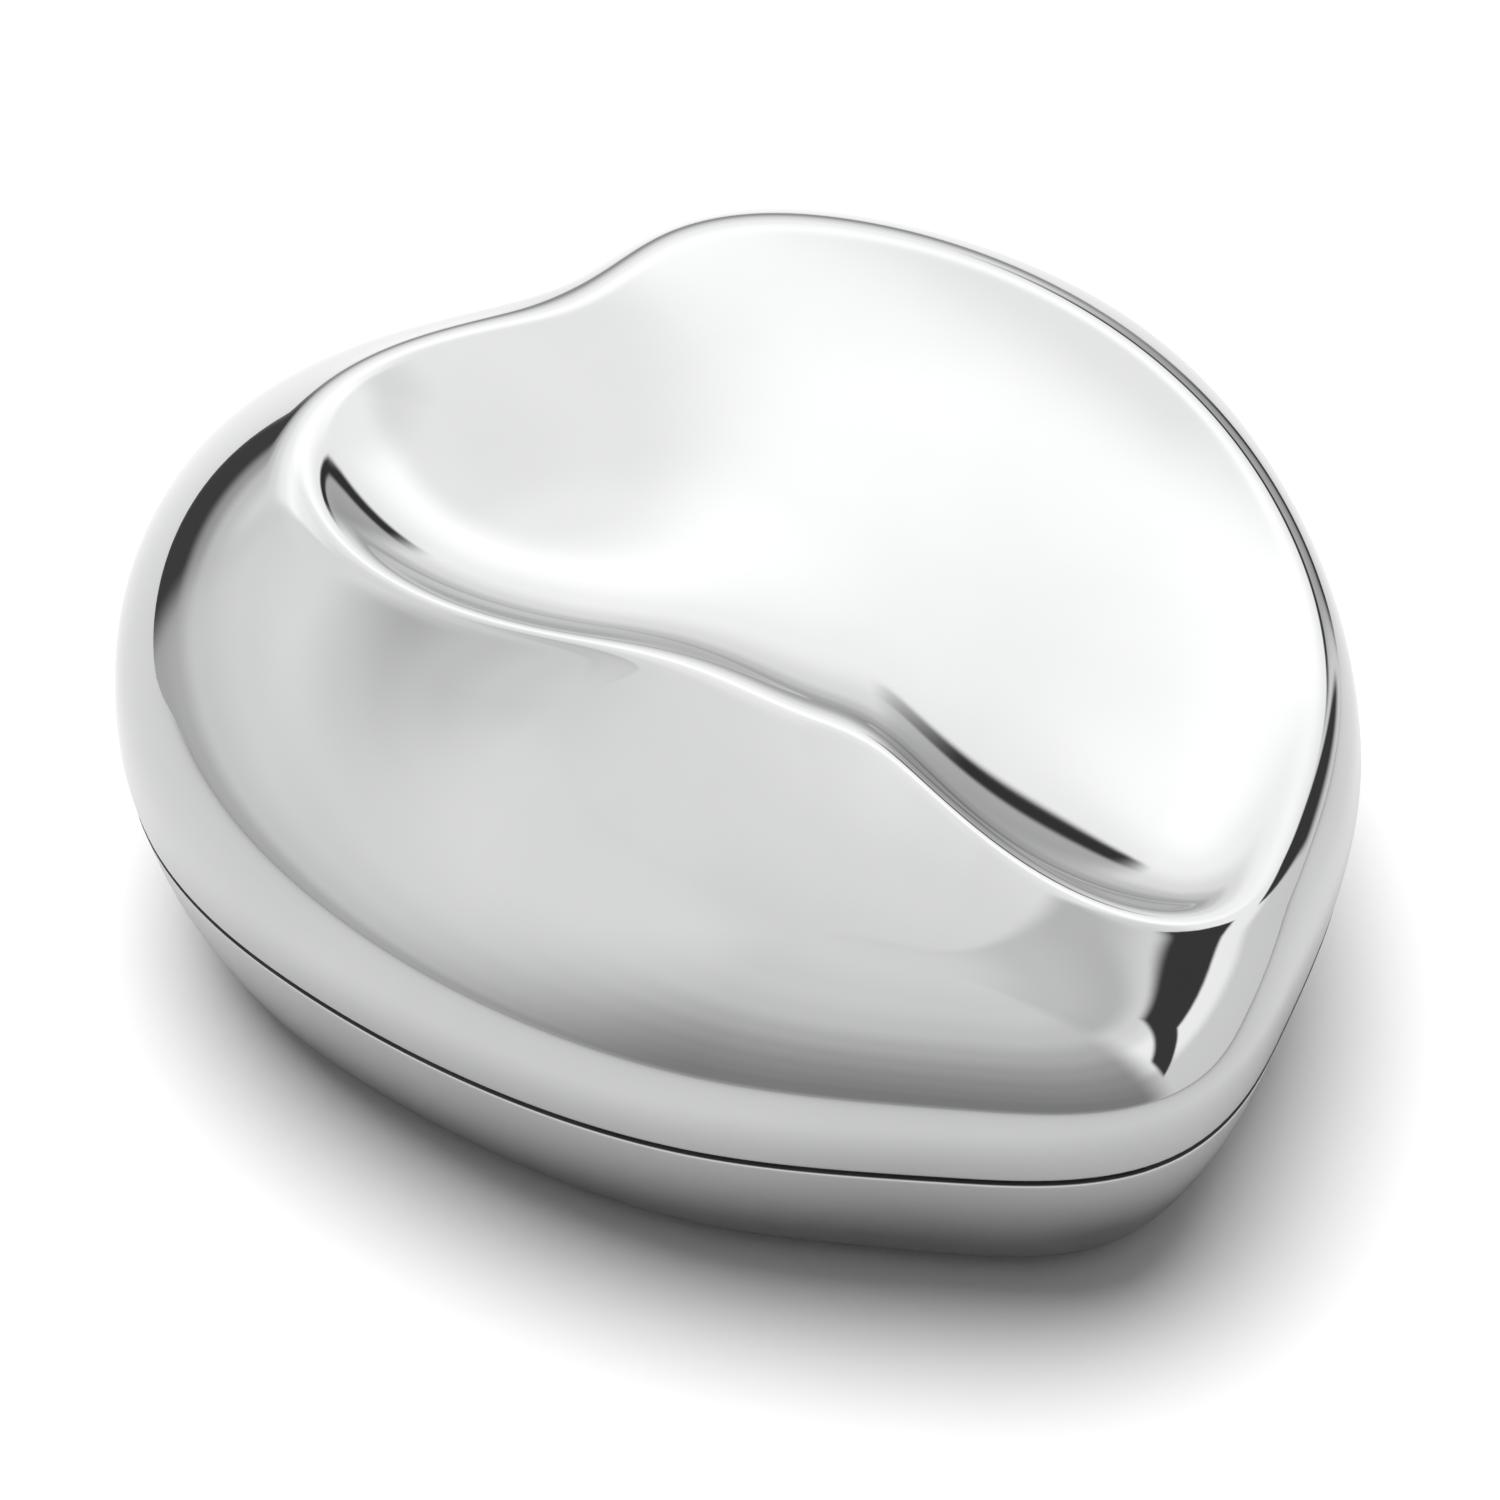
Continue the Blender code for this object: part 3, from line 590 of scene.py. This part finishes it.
def lining_board():
    """Grey board of pressed fibres and flecks."""
    material, tree = new_material("grey_lining_board")
    vector = coordinates(tree)
    fleck = noise(tree, vector, scale=900.0, detail=5.0, roughness=0.8)
    tone = noise(tree, vector, scale=70.0, detail=3.0)
    tint = calculate(tree, "ADD", fleck, remap(tree, tone, low=-0.1, high=0.1))
    return shaded(material, {
        "Base Color": ramp(tree, tint, dark=(0.13, 0.12, 0.11), light=(0.24, 0.23, 0.21),
                           dark_at=0.35, light_at=0.65),
        "Roughness": remap(tree, fleck, low=0.8, high=0.95),
        "Normal": bump(tree, fleck, strength=0.4, distance=0.0001),
    })


def painted_seam_shadow_steel():
    """Dull, very dark steel with drawn streaks for the inner face and cut edge of the shells;
    its darkness is painted shadow that makes the joint between the shells read as a dark gap.
    """
    material, tree = new_material("painted_seam_shadow_steel")
    lines = noise(tree, coordinates(tree, scale=(200, 200, 6000)), roughness=0.6)
    return shaded(material, {
        "Base Color": ramp(tree, lines, dark=(0.035, 0.035, 0.036), light=(0.070, 0.070, 0.072)),
        "Roughness": remap(tree, lines, low=0.45, high=0.60),
        "Metallic": 0.6,
        "Normal": bump(tree, lines, strength=0.08, distance=0.00002),
    })


def clouded_silicone():
    """Milky, slightly uneven and softly glossy."""
    material, tree = new_material("clouded_silicone")
    vector = coordinates(tree)
    cloud = noise(tree, vector, scale=400.0, roughness=0.6)
    grain = noise(tree, vector, scale=1800.0, detail=3.0)
    return shaded(material, {
        "Base Color": ramp(tree, cloud, dark=(0.52, 0.53, 0.54), light=(0.68, 0.69, 0.70)),
        "Roughness": remap(tree, cloud, low=0.35, high=0.5),
        "Subsurface Weight": 0.4,
        "Subsurface Radius": (0.002, 0.002, 0.002),
        "Subsurface Scale": 1.0,
        "Normal": bump(tree, grain, strength=0.15, distance=0.00005),
    })


MIRROR = mirror_steel()
SATIN = satin_steel()
FELT = flocked_felt()
BOARD = lining_board()
SEAM_SHADOW_STEEL = painted_seam_shadow_steel()
SILICONE = clouded_silicone()


# ------------------------------------------------ outer shells
def shell(name, node, rings, body):
    """Steel sheet, drawn in by a hair so that it stays inside the box of the CAD shell."""
    plan, up = SHELL_SHRINK
    rings = [np.array([x * plan, y * plan, z * up]) for x, y, z in rings]
    obj = loft(name, rings, MIRROR, sharp=50.0)
    sheet = obj.modifiers.new("sheet", "SOLIDIFY")
    sheet.thickness = SHELL_T * MM
    sheet.offset = -1.0
    sheet.use_even_offset = True
    sheet.use_quality_normals = True
    # The inner faces and cut edges get the very dark steel: painted shadow in the joint between
    # the shells.
    obj.data.materials.append(SEAM_SHADOW_STEEL)
    sheet.material_offset = 1
    sheet.material_offset_rim = 1
    stand_in(obj, node, body)


def base_shell():
    """Side from the joint down, then the underside in to a centre point."""
    rings = [SKIN.base_side(part) for part in np.linspace(1.0, 0.0, 44)]
    lower_edge = SKIN.base_side(0.0)
    sole = SKIN.level_ring(SOLE_IN, BODY_Z)
    rings += [(1 - t) * lower_edge + t * sole for t in (0.35, 0.7, 1.0)]
    centre = np.array([*SKIN.centre[:, 0], BODY_Z])
    rings += [centre[:, None] + part * (sole - centre[:, None]) for part in (0.66, 0.33)]
    rings.append(centre)
    shell("base_shell_polished", "base_shell", rings, "base")


def lid_shell():
    """Side from the joint up, over the rounded crest and down the dish to its centre."""
    rings = [SKIN.lid_side(part) for part in np.linspace(0.0, 1.0, 64)]
    rings += [SKIN.round_over(u) for u in np.linspace(0.0, 1.0, 18)[1:-1]]
    rings += [SKIN.dish(SKIN.round_part * part)[0] for part in np.linspace(1.0, 0.0, 60)[:-1]]
    rings.append(SKIN.dish(0.0)[0][:, 0])
    shell("lid_shell_polished", "lid_shell", rings, "lid")


base_shell()
lid_shell()


# ------------------------------------------------ inner metalwork
def pan(name, node, wall_in, floor_z, rim_z, flange_in, body):
    """Pressed pan in one closed skin: flat floor, rounded corner, upright wall and flange.

    Floor and rim heights are those of the faces on the pan's open side."""
    way = 1.0 if rim_z > floor_z else -1.0
    inner = wall_in + PAN_T
    floor_back = floor_z - way * PAN_T
    rim_back = rim_z - way * PAN_T
    bevel = 0.2     # of the flange edge
    profile = [
        (inner + 24.0, floor_z),
        *bend((inner + 12.0, floor_z), (inner, floor_z), (inner, rim_z), radius=2.2),
        *bend((inner, floor_z), (inner, rim_z), (flange_in, rim_z), radius=0.5, steps=5),
        (flange_in + bevel, rim_z),
        (flange_in, rim_z - bevel * way),
        (flange_in, rim_back + bevel * way),
        (flange_in + bevel, rim_back),
        *bend((flange_in, rim_back), (wall_in, rim_back), (wall_in, floor_back),
              radius=0.6, steps=5),
        *bend((wall_in, rim_back), (wall_in, floor_back), (wall_in + 12.0, floor_back),
              radius=2.6),
        (wall_in + 25.0, floor_back)]
    rings = [heart_ring(inset, z) for inset, z in
             [(None, floor_z), *profile, (None, floor_back)]]
    stand_in(loft(name, rings, SATIN, sharp=60.0), node, body)


def collar():
    """Upright band inside the joint, with a rounded top edge."""
    outer, inner = COLLAR_IN, COLLAR_IN + COLLAR_T
    low, top = COLLAR_BOTTOM_Z, COLLAR_TOP_Z
    profile = [
        (outer, low),
        *bend((outer, low), (outer, top), (inner, top), radius=COLLAR_ROUND, steps=5),
        *bend((outer, top), (inner, top), (inner, low), radius=COLLAR_ROUND, steps=5),
        (inner, low)]
    rings = [heart_ring(inset, z) for inset, z in profile]
    obj = loft("collar_ring", rings, SATIN, loop=True)
    stand_in(obj, "locating_collar", "base")


pan("tray_pan", "base_inner_tray", wall_in=TRAY_IN, floor_z=TRAY_FLOOR_Z, rim_z=TRAY_RIM_Z,
    flange_in=TRAY_FLANGE_IN, body="base")
pan("lid_pan", "lid_inner_pan", wall_in=LIDPAN_IN, floor_z=LIDPAN_CEIL_Z, rim_z=LIDPAN_RIM_Z,
    flange_in=LIDPAN_FLANGE_IN, body="lid")
collar()


# ------------------------------------------------ boards and linings
def board(name, node, edge_in, low_z, top_z, body):
    """Flat heart-shaped board with bevelled edges."""
    inward = edge_in + 20
    ease = BOARD_EASE
    profile = ((None, low_z), (inward, low_z), (edge_in + ease, low_z), (edge_in, low_z + ease),
               (edge_in, top_z - ease), (edge_in + ease, top_z), (inward, top_z), (None, top_z))
    rings = [heart_ring(inset, z) for inset, z in profile]
    stand_in(loft(name, rings, BOARD), node, body)


def side_lining(name, node, outer_in, low_z, top_z, body):
    """Felt band inside a wall: rolled edges and a slightly padded, rippled inner face."""
    inner_in = outer_in + LINING_T
    middle_in = 0.5 * (outer_in + inner_in)
    roll = 0.35                 # height of the rolled edges
    slack = 0.3                 # how far the edges stand back from the full thickness
    puff = 0.22                 # padding at mid height
    back_step = 0.5             # how far the outer face stops short of the edges
    face_steps = 12
    roll_steps = (0.25, 0.5, 0.75)
    half = 0.5 * LINING_T - slack
    ripple = (0.10 * np.sin(23 * ANGLES + 0.7) + 0.07 * np.sin(41 * ANGLES + 2.1)
              + 0.05 * np.sin(67 * ANGLES))
    rings = []
    for k in range(face_steps + 1):
        t = k / face_steps
        swell = math.sin(math.pi * t)
        rings.append(heart_ring(inner_in + puff * swell - slack,
                                low_z + roll + (top_z - low_z - 2 * roll) * t,
                                extra=ripple * SLANT * swell))
    for turn in (math.pi * t for t in roll_steps):
        rings.append(heart_ring(middle_in + half * math.cos(turn),
                                top_z - roll + roll * math.sin(turn)))
    rings.append(heart_ring(outer_in, top_z - back_step))
    rings.append(heart_ring(outer_in, low_z + back_step))
    for turn in (math.pi * (1 - t) for t in roll_steps):
        rings.append(heart_ring(middle_in + half * math.cos(turn),
                                low_z + roll - roll * math.sin(turn)))
    stand_in(loft(name, rings, FELT, loop=True, sharp=80.0), node, body)


# Cushion rows. Flat face: distance inside the edge, height.
CUSHION_FLAT = ((26, 0.0), (12, 0.0), (3, 0.0), (0.6, 0.05))
# Edge and crown: distance inside the edge, share of the thickness.
CUSHION_CROWN = (
    (0.1, 0.35), (0.35, 0.52), (1.2, 0.68), (3.5, 0.80), (8, 0.85),
    (14, 0.87), (22, 0.88), (30, 0.88))
CUSHION_TOP = CUSHION_CROWN[-1][1]
EDGE_TOP = 0.7      # the edge is puckered below this share


def cloth_padding(obj):
    """Cloth inflated from inside, with the flat face held by the vertex group."""
    cloth = obj.modifiers.new("padding", "CLOTH")
    settings = cloth.settings
    settings.quality = 5
    settings.mass = 0.25
    settings.tension_stiffness = settings.compression_stiffness = 18.0
    settings.bending_stiffness = 2.0
    settings.use_pressure = True
    settings.uniform_pressure_force = 3.0
    settings.effector_weights.gravity = 0.0
    settings.vertex_group_mass = "glued"
    cloth.collision_settings.use_collision = False


def evaluated_mesh(obj):
    """The object's mesh as its modifiers leave it; the modifiers are then removed."""
    graph = bpy.context.evaluated_depsgraph_get()
    mesh = bpy.data.meshes.new_from_object(obj.evaluated_get(graph))
    obj.modifiers.clear()
    return mesh


def puff_up(obj, flat_z, thickness, way):
    """Even out the mesh, crown it by cloth simulation and limit how far it moved."""
    voxel = 0.0011
    held_depth = 0.35           # mm of the flat side that does not move
    move_share = 0.11           # greatest move, against the thickness
    sideways_share = 0.15       # how much of the sideways move is kept
    last_frame = 12
    remesh = obj.modifiers.new("even", "REMESH")
    remesh.mode = "VOXEL"
    remesh.voxel_size = voxel
    bpy.context.view_layer.update()
    obj.data = evaluated_mesh(obj)
    start = np.array([vert.co[:] for vert in obj.data.vertices])
    held = [i for i, point in enumerate(start) if way * (point[2] / MM - flat_z) < held_depth]
    obj.vertex_groups.new(name="glued").add(held, 1.0, "REPLACE")
    cloth_padding(obj)
    scene = bpy.context.scene
    for frame in range(1, last_frame + 1):
        scene.frame_set(frame)
    puffed = evaluated_mesh(obj)
    move = np.array([vert.co[:] for vert in puffed.vertices]) - start
    size = np.linalg.norm(move, axis=1, keepdims=True)
    move *= np.minimum(1.0, move_share * thickness * MM / np.maximum(size, 1e-12))
    # The edge keeps its gap to the side lining.
    move[:, 0:2] *= sideways_share
    obj.data = puffed
    for vert, point in zip(puffed.vertices, start + move):
        vert.co = point
    scene.frame_set(1)
    puffed.shade_smooth()
    # Remeshing may drop the material.
    if not puffed.materials:
        puffed.materials.append(FELT)
    fine = obj.modifiers.new("fine", "SUBSURF")
    fine.levels = fine.render_levels = 1


def cushion(name, node, edge_in, flat_z, thickness, way, body):
    """Padded felt heart, flat on its board; way is 1 for a crown upwards, -1 downwards."""
    rings = [heart_ring(None, flat_z)]
    rings += [heart_ring(edge_in + inside, flat_z + way * height)
              for inside, height in CUSHION_FLAT]
    for inside, share in CUSHION_CROWN:
        inset = edge_in + inside
        # Broad, shallow unevenness that shifts towards the middle.
        wave = 0.06 * thickness * (np.sin(3 * ANGLES + 0.4)
                                   + 0.6 * np.sin(5 * ANGLES + 1.9 + 0.1 * inset))
        pucker = 0.0
        if share < EDGE_TOP:
            pucker = 0.12 * np.sin(31 * ANGLES + 0.2 * np.sin(7 * ANGLES))
        rings.append(heart_ring(inset, flat_z + way * (share * thickness + wave),
                                extra=pucker))
    rings.append(heart_ring(None, flat_z + way * (CUSHION_TOP * thickness)))
    obj = loft(name, rings, FELT, sharp=85.0)
    puff_up(obj, flat_z, thickness, way)
    stand_in(obj, node, body)


TRAY_LINING_IN = TRAY_IN + PAN_T + CLEAR
LID_LINING_IN = LIDPAN_IN + PAN_T + CLEAR
TRAY_LINING_DROP = 0.7      # tray lining's top below the collar's
LID_LINING_LIFT = 1.0       # lid lining's lower edge above the collar's top

board("floor_board", "base_lining_board", edge_in=TRAY_IN + PAN_T + BOARD_GAP,
      low_z=TRAY_FLOOR_Z + CLEAR, top_z=TRAY_BOARD_TOP_Z, body="base")
board("ceiling_board", "lid_lining_board", edge_in=LIDPAN_IN + PAN_T + BOARD_GAP,
      low_z=LID_BOARD_LOW_Z, top_z=LID_BOARD_TOP_Z, body="lid")
side_lining("tray_side_felt", "base_side_lining", outer_in=TRAY_LINING_IN,
            low_z=TRAY_BOARD_TOP_Z + CLEAR, top_z=COLLAR_TOP_Z - TRAY_LINING_DROP, body="base")
side_lining("lid_side_felt", "lid_side_lining", outer_in=LID_LINING_IN,
            low_z=COLLAR_TOP_Z + LID_LINING_LIFT, top_z=LID_BOARD_LOW_Z - CLEAR, body="lid")
cushion("floor_cushion", "base_floor_cushion", edge_in=TRAY_LINING_IN + LINING_T + CLEAR,
        flat_z=TRAY_BOARD_TOP_Z + CLEAR, thickness=CUSHION_T, way=1.0, body="base")
cushion("ceiling_cushion", "lid_ceiling_pad", edge_in=LID_LINING_IN + LINING_T + CLEAR,
        flat_z=LID_BOARD_LOW_Z - CLEAR, thickness=CEILING_PAD_T, way=-1.0, body="lid")


# ------------------------------------------------ feet and bumpers
def pad_profile():
    """Pad outline from the lower to the upper centre, as shares of radius and height."""
    round_in, round_up = 0.14, 0.26
    turns = np.linspace(0, math.pi / 2, 6)
    lower = [(1.0 - round_in * (1 - math.sin(turn)), round_up * (1 - math.cos(turn)))
             for turn in turns]
    upper = [(1.0 - round_in * (1 - math.cos(turn)), 1.0 - round_up * (1 - math.sin(turn)))
             for turn in turns]
    dimple = [(0.70, 1.0), (0.45, 0.985), (0.20, 0.96), (0.0, 0.955)]
    return [(0.0, 0.0), (0.55, 0.0), (0.80, 0.0), *lower, (1.0, 0.5), *upper, *dimple]


def silicone_pad(name, node):
    """Round pad with rounded shoulders and a shallow dimple on top, filling its CAD box."""
    low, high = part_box(node)
    x, y = 0.5 * (low[0] + high[0]), 0.5 * (low[1] + high[1])
    radius = 0.5 * min(high[0] - low[0], high[1] - low[1])
    height = high[2] - low[2]
    segments = 56
    turn = 2 * math.pi * np.arange(segments) / segments
    rings = []
    for out, up in pad_profile():
        z = low[2] + up * height
        if out == 0.0:
            rings.append(np.array([x, y, z]))
        else:
            rings.append(np.array([x + out * radius * np.cos(turn),
                                   y + out * radius * np.sin(turn), np.full(segments, z)]))
    obj = ring_skin(name, rings, SILICONE, segments)
    stand_in(obj, node, "base")


for place in ("front_left", "front_right", "rear_left", "rear_right"):
    silicone_pad("silicone_foot_" + place, "foot_" + place)
    silicone_pad("silicone_bumper_" + place, "rest_bumper_" + place)


# ------------------------------------------------ table (m)
TABLE_R = 0.9           # its edge draws the line low on the mirror walls
TABLE_FAR_R = 0.33      # radius on the side away from the camera
TABLE_ROUND_R = 0.25    # rings smaller than this stay circles
TABLE_RINGS = (0.05, 0.1, 0.15, TABLE_R * 0.75, TABLE_R)
TABLE_SEGMENTS = 96
FAR_TURN = math.radians(72.0)       # middle of the far side, from +X towards +Y
FAR_HALF = 0.75 * math.pi / 2       # its half width
FAR_EASE = 4.0                      # how quickly the radius changes at its ends
TABLE_TONE, TABLE_MOTTLE = 0.90, 0.004
TABLE_SEEN = 0.72       # its tone in the steel, against its tone to the camera


def table_material():
    """Matt white that the steel sees a little darker than the camera does."""
    material, tree = new_material("white_table")
    tint = ramp(tree, noise(tree, coordinates(tree), scale=30.0),
                dark=(TABLE_TONE - TABLE_MOTTLE,) * 3, light=(TABLE_TONE + TABLE_MOTTLE,) * 3)
    glossy = add_node(tree, "LightPath").outputs["Is Glossy Ray"]
    return shaded(material, {
        "Base Color": mix_colour(tree, glossy, tint, (TABLE_SEEN,) * 3 + (1,), "MULTIPLY"),
        "Roughness": 0.9,
        "Specular IOR Level": 0.0,
    })


def table():
    """Disc at z = 0, drawn in on its far side."""
    verts, faces = [(0.0, 0.0, 0.0)], []
    for i, radius in enumerate(TABLE_RINGS):
        for j in range(TABLE_SEGMENTS):
            turn = 2 * math.pi * j / TABLE_SEGMENTS
            off = abs(math.remainder(turn - FAR_TURN, 2 * math.pi))
            far = min(1.0, max(0.0, (FAR_HALF - off) * FAR_EASE + 0.5))
            reach = radius
            if radius > TABLE_ROUND_R:
                reach *= 1 + far * far * (3 - 2 * far) * (TABLE_FAR_R / TABLE_R - 1)
            verts.append((reach * math.cos(turn), reach * math.sin(turn), 0.0))
            k = (j + 1) % TABLE_SEGMENTS
            if i == 0:
                faces.append((0, 1 + j, 1 + k))
            else:
                inner = 1 + (i - 1) * TABLE_SEGMENTS
                outer = inner + TABLE_SEGMENTS
                faces.append((inner + j, outer + j, outer + k, inner + k))
    obj = mesh_object("table_top", verts, faces, table_material())
    if obj.data.polygons[0].normal.z < 0:
        obj.data.flip_normals()


table()

# ------------------------------------------------ studio
# What the steel sees round it. Azimuths run in degrees from +Y towards +X, and left, right,
# near and far are as the camera looks. Each tone table: elevation in degrees, tone.
NEAR_TONES = (
    (-90, 0.55), (-3, 0.48), (3, 0.31), (12, 0.31), (22, 0.35), (36, 0.41), (48, 0.51),
    (58, 0.66), (68, 0.85), (78, 0.96), (90, 1.04))
LEFT_TONES = (
    (-90, 0.80), (-4, 0.60), (2, 0.66), (12, 0.92), (30, 1.05), (45, 1.13), (78, 1.12),
    (90, 1.04))
FAR_TONES = (
    (-90, 0.35), (-13, 0.40), (-8, 0.42), (1, 0.42), (7, 0.62), (13, 0.85), (22, 1.15),
    (38, 1.45), (51, 1.70), (58, 1.38), (66, 1.28), (76, 1.12), (90, 1.04))
FAR_LEFT_TONES = (
    (-90, 0.35), (-13, 0.28), (-8, 0.07), (1, 0.07), (7, 0.50), (13, 0.85), (22, 1.10),
    (38, 1.40), (50, 1.60), (62, 1.40), (74, 1.14), (90, 1.04))
RIGHT_TONES = (
    (-90, 0.90), (-3, 0.92), (28, 0.95), (37, 1.35), (50, 1.38), (57, 1.12), (62, 1.02),
    (69, 0.74), (79, 0.84), (90, 1.04))
FAR_RIGHT_TONES = (
    (-90, 0.35), (-10, 0.28), (-6, 0.07), (1, 0.07), (5, 0.40), (15, 0.55), (26, 0.62),
    (28.5, 0.05), (32, 0.05), (34.5, 1.35), (51, 1.66), (58, 1.30), (66, 1.22), (76, 1.10),
    (90, 1.04))
# Laid over the near tones in this order: tones, middle azimuth, half width, soft edge.
SIDES = (
    (LEFT_TONES, -58.0, 40.0, 52.0),
    (FAR_TONES, 22.0, 52.0, 18.0),
    (FAR_LEFT_TONES, -9.0, 19.0, 12.0),
    (RIGHT_TONES, 114.0, 50.0, 18.0),
    (FAR_RIGHT_TONES, 65.0, 9.0, 7.0))
# A dark card on the right and an upright below its far end: ranges of azimuth and elevation.
CARD_AZ, CARD_EL = (94.0, 158.0), (45.0, 60.5)
POST_AZ, POST_EL = (79.0, 93.0), (6.0, 37.0)
CARD_EDGE = 3.0         # soft upright edges of both
CARD_TONE = 0.06
CARD_BEND = 134.0       # past this azimuth the card's long edges run downwards
CARD_DROOP = 0.85       # by this much per degree
GLOSS_STRENGTH = 2.0    # tones are divided by this to fit a colour ramp
FILL = 0.20             # even light on everything that is not a mirror
DEGREES = 180.0 / math.pi


def tone_ramp(tree, elevation, stops):
    node = add_node(tree, "ValToRGB")
    node.color_ramp.interpolation = "EASE"
    elements = node.color_ramp.elements
    while len(elements) > 1:
        elements.remove(elements[-1])
    for i, (degrees, tone) in enumerate(stops):
        position = (degrees + 90.0) / 180.0
        element = elements[0] if i == 0 else elements.new(position)
        element.position = position
        element.color = (*(tone / GLOSS_STRENGTH,) * 3, 1)
    set_inputs(tree, node, {"Fac": calculate(tree, "MULTIPLY_ADD", elevation, 1 / 180.0, 0.5)})
    return node.outputs["Color"]


def away(tree, azimuth, middle):
    """Degrees between an azimuth and a middle one, without a jump at the back."""
    turn = calculate(tree, "SUBTRACT", azimuth, math.radians(middle))
    near = calculate(tree, "ARCCOSINE", calculate(tree, "COSINE", turn))
    return calculate(tree, "MULTIPLY", near, DEGREES)


def within(tree, distance, half, soft):
    return smooth_step(tree, distance, half + soft / 2, half - soft / 2)


def window(tree, across, azimuths, elevation, elevations, low_soft, high_soft):
    """Mask of a patch; `across` is the distance from its middle azimuth."""
    low, high = elevations
    return calculate(
        tree, "MULTIPLY",
        within(tree, across, half=(azimuths[1] - azimuths[0]) / 2, soft=CARD_EDGE),
        calculate(tree, "MULTIPLY",
                  smooth_step(tree, elevation, low - low_soft, low + low_soft),
                  smooth_step(tree, elevation, high + high_soft, high - high_soft)))


def card_mask(tree, azimuth, elevation):
    across = away(tree, azimuth, sum(CARD_AZ) / 2)
    past = calculate(tree, "MAXIMUM",
                     calculate(tree, "MULTIPLY_ADD", azimuth, DEGREES, -CARD_BEND), 0.0)
    height = calculate(tree, "MULTIPLY_ADD", past, CARD_DROOP, elevation)
    card = window(tree, across, CARD_AZ, height, CARD_EL, low_soft=1.0, high_soft=2.0)
    post = window(tree, away(tree, azimuth, sum(POST_AZ) / 2), POST_AZ, elevation, POST_EL,
                  low_soft=6.0, high_soft=1.0)
    return calculate(tree, "MAXIMUM", card, post)


def studio():
    """The camera sees plain white, the steel a grey and white studio with a dark card."""
    world = bpy.data.worlds.new("soft_studio")
    bpy.context.scene.world = world
    world.use_nodes = True
    tree = world.node_tree
    tree.nodes.clear()
    output = add_node(tree, "OutputWorld")
    direction = add_node(tree, "TexCoord").outputs["Generated"]
    axes = add_node(tree, "SeparateXYZ", {0: direction}).outputs
    azimuth = calculate(tree, "ARCTAN2", axes["X"], axes["Y"])
    elevation = calculate(tree, "MULTIPLY", calculate(tree, "ARCSINE", axes["Z"]), DEGREES)
    seen = tone_ramp(tree, elevation, NEAR_TONES)
    for stops, middle, half, soft in SIDES:
        side = within(tree, away(tree, azimuth, middle), half, soft)
        seen = mix_colour(tree, side, seen, tone_ramp(tree, elevation, stops))
    seen = mix_colour(tree, card_mask(tree, azimuth, elevation), seen,
                      (*(CARD_TONE / GLOSS_STRENGTH,) * 3, 1))
    gloss = add_node(tree, "Background", {"Strength": GLOSS_STRENGTH, "Color": seen})
    path = add_node(tree, "LightPath").outputs
    strength = calculate(tree, "MULTIPLY_ADD", path["Is Camera Ray"], 1.0 - FILL, FILL)
    plain = add_node(tree, "Background", {"Color": (1, 1, 1, 1), "Strength": strength})
    mix = add_node(tree, "MixShader", {0: path["Is Glossy Ray"], 1: plain.outputs[0],
                                       2: gloss.outputs[0]})
    set_inputs(tree, output, {"Surface": mix.outputs[0]})


def ceiling_light():
    """Soft round light overhead, aimed at the origin and hidden from mirrors and camera."""
    light = bpy.data.lights.new("ceiling_light", "AREA")
    light.shape = "DISK"
    light.size = 1.1
    light.energy = 14.5
    obj = bpy.data.objects.new("ceiling_light", light)
    obj.location = (0.03, 0.22, 0.84)
    obj.rotation_euler = (-obj.location).to_track_quat("-Z", "Y").to_euler()
    bpy.context.scene.collection.objects.link(obj)
    obj.visible_glossy = False
    obj.visible_camera = False


studio()
ceiling_light()

# ------------------------------------------------ camera
VIEW_TURN = math.radians(-31.53)    # round from -Y towards +X
VIEW_RISE = math.radians(40.57)     # above the table
VIEW_DISTANCE = 516.66667           # mm from the heart's centre, along the view
VIEW_SHIFT = (-7.9608, 19.902)      # mm to the camera's right, and up in its view
LENS, SENSOR = 122.16, 36.0         # mm


def camera():
    back = Vector((math.sin(VIEW_TURN) * math.cos(VIEW_RISE),
                   -math.cos(VIEW_TURN) * math.cos(VIEW_RISE), math.sin(VIEW_RISE)))
    right = Vector((math.cos(VIEW_TURN), math.sin(VIEW_TURN), 0.0))
    up = back.cross(right)
    place = (back * VIEW_DISTANCE + right * VIEW_SHIFT[0] + up * VIEW_SHIFT[1]
             + Vector((HEART_X, HEART_Y, 0.0)))
    data = bpy.data.cameras.new("view")
    data.sensor_width = SENSOR
    data.lens = LENS
    data.clip_start = 0.01
    obj = bpy.data.objects.new("view", data)
    axes = Matrix((right, up, back)).transposed()
    obj.matrix_world = Matrix.Translation(place * MM) @ axes.to_4x4()
    scene = bpy.context.scene
    scene.collection.objects.link(obj)
    scene.camera = obj
    scene.view_settings.view_transform = "Standard"


camera()
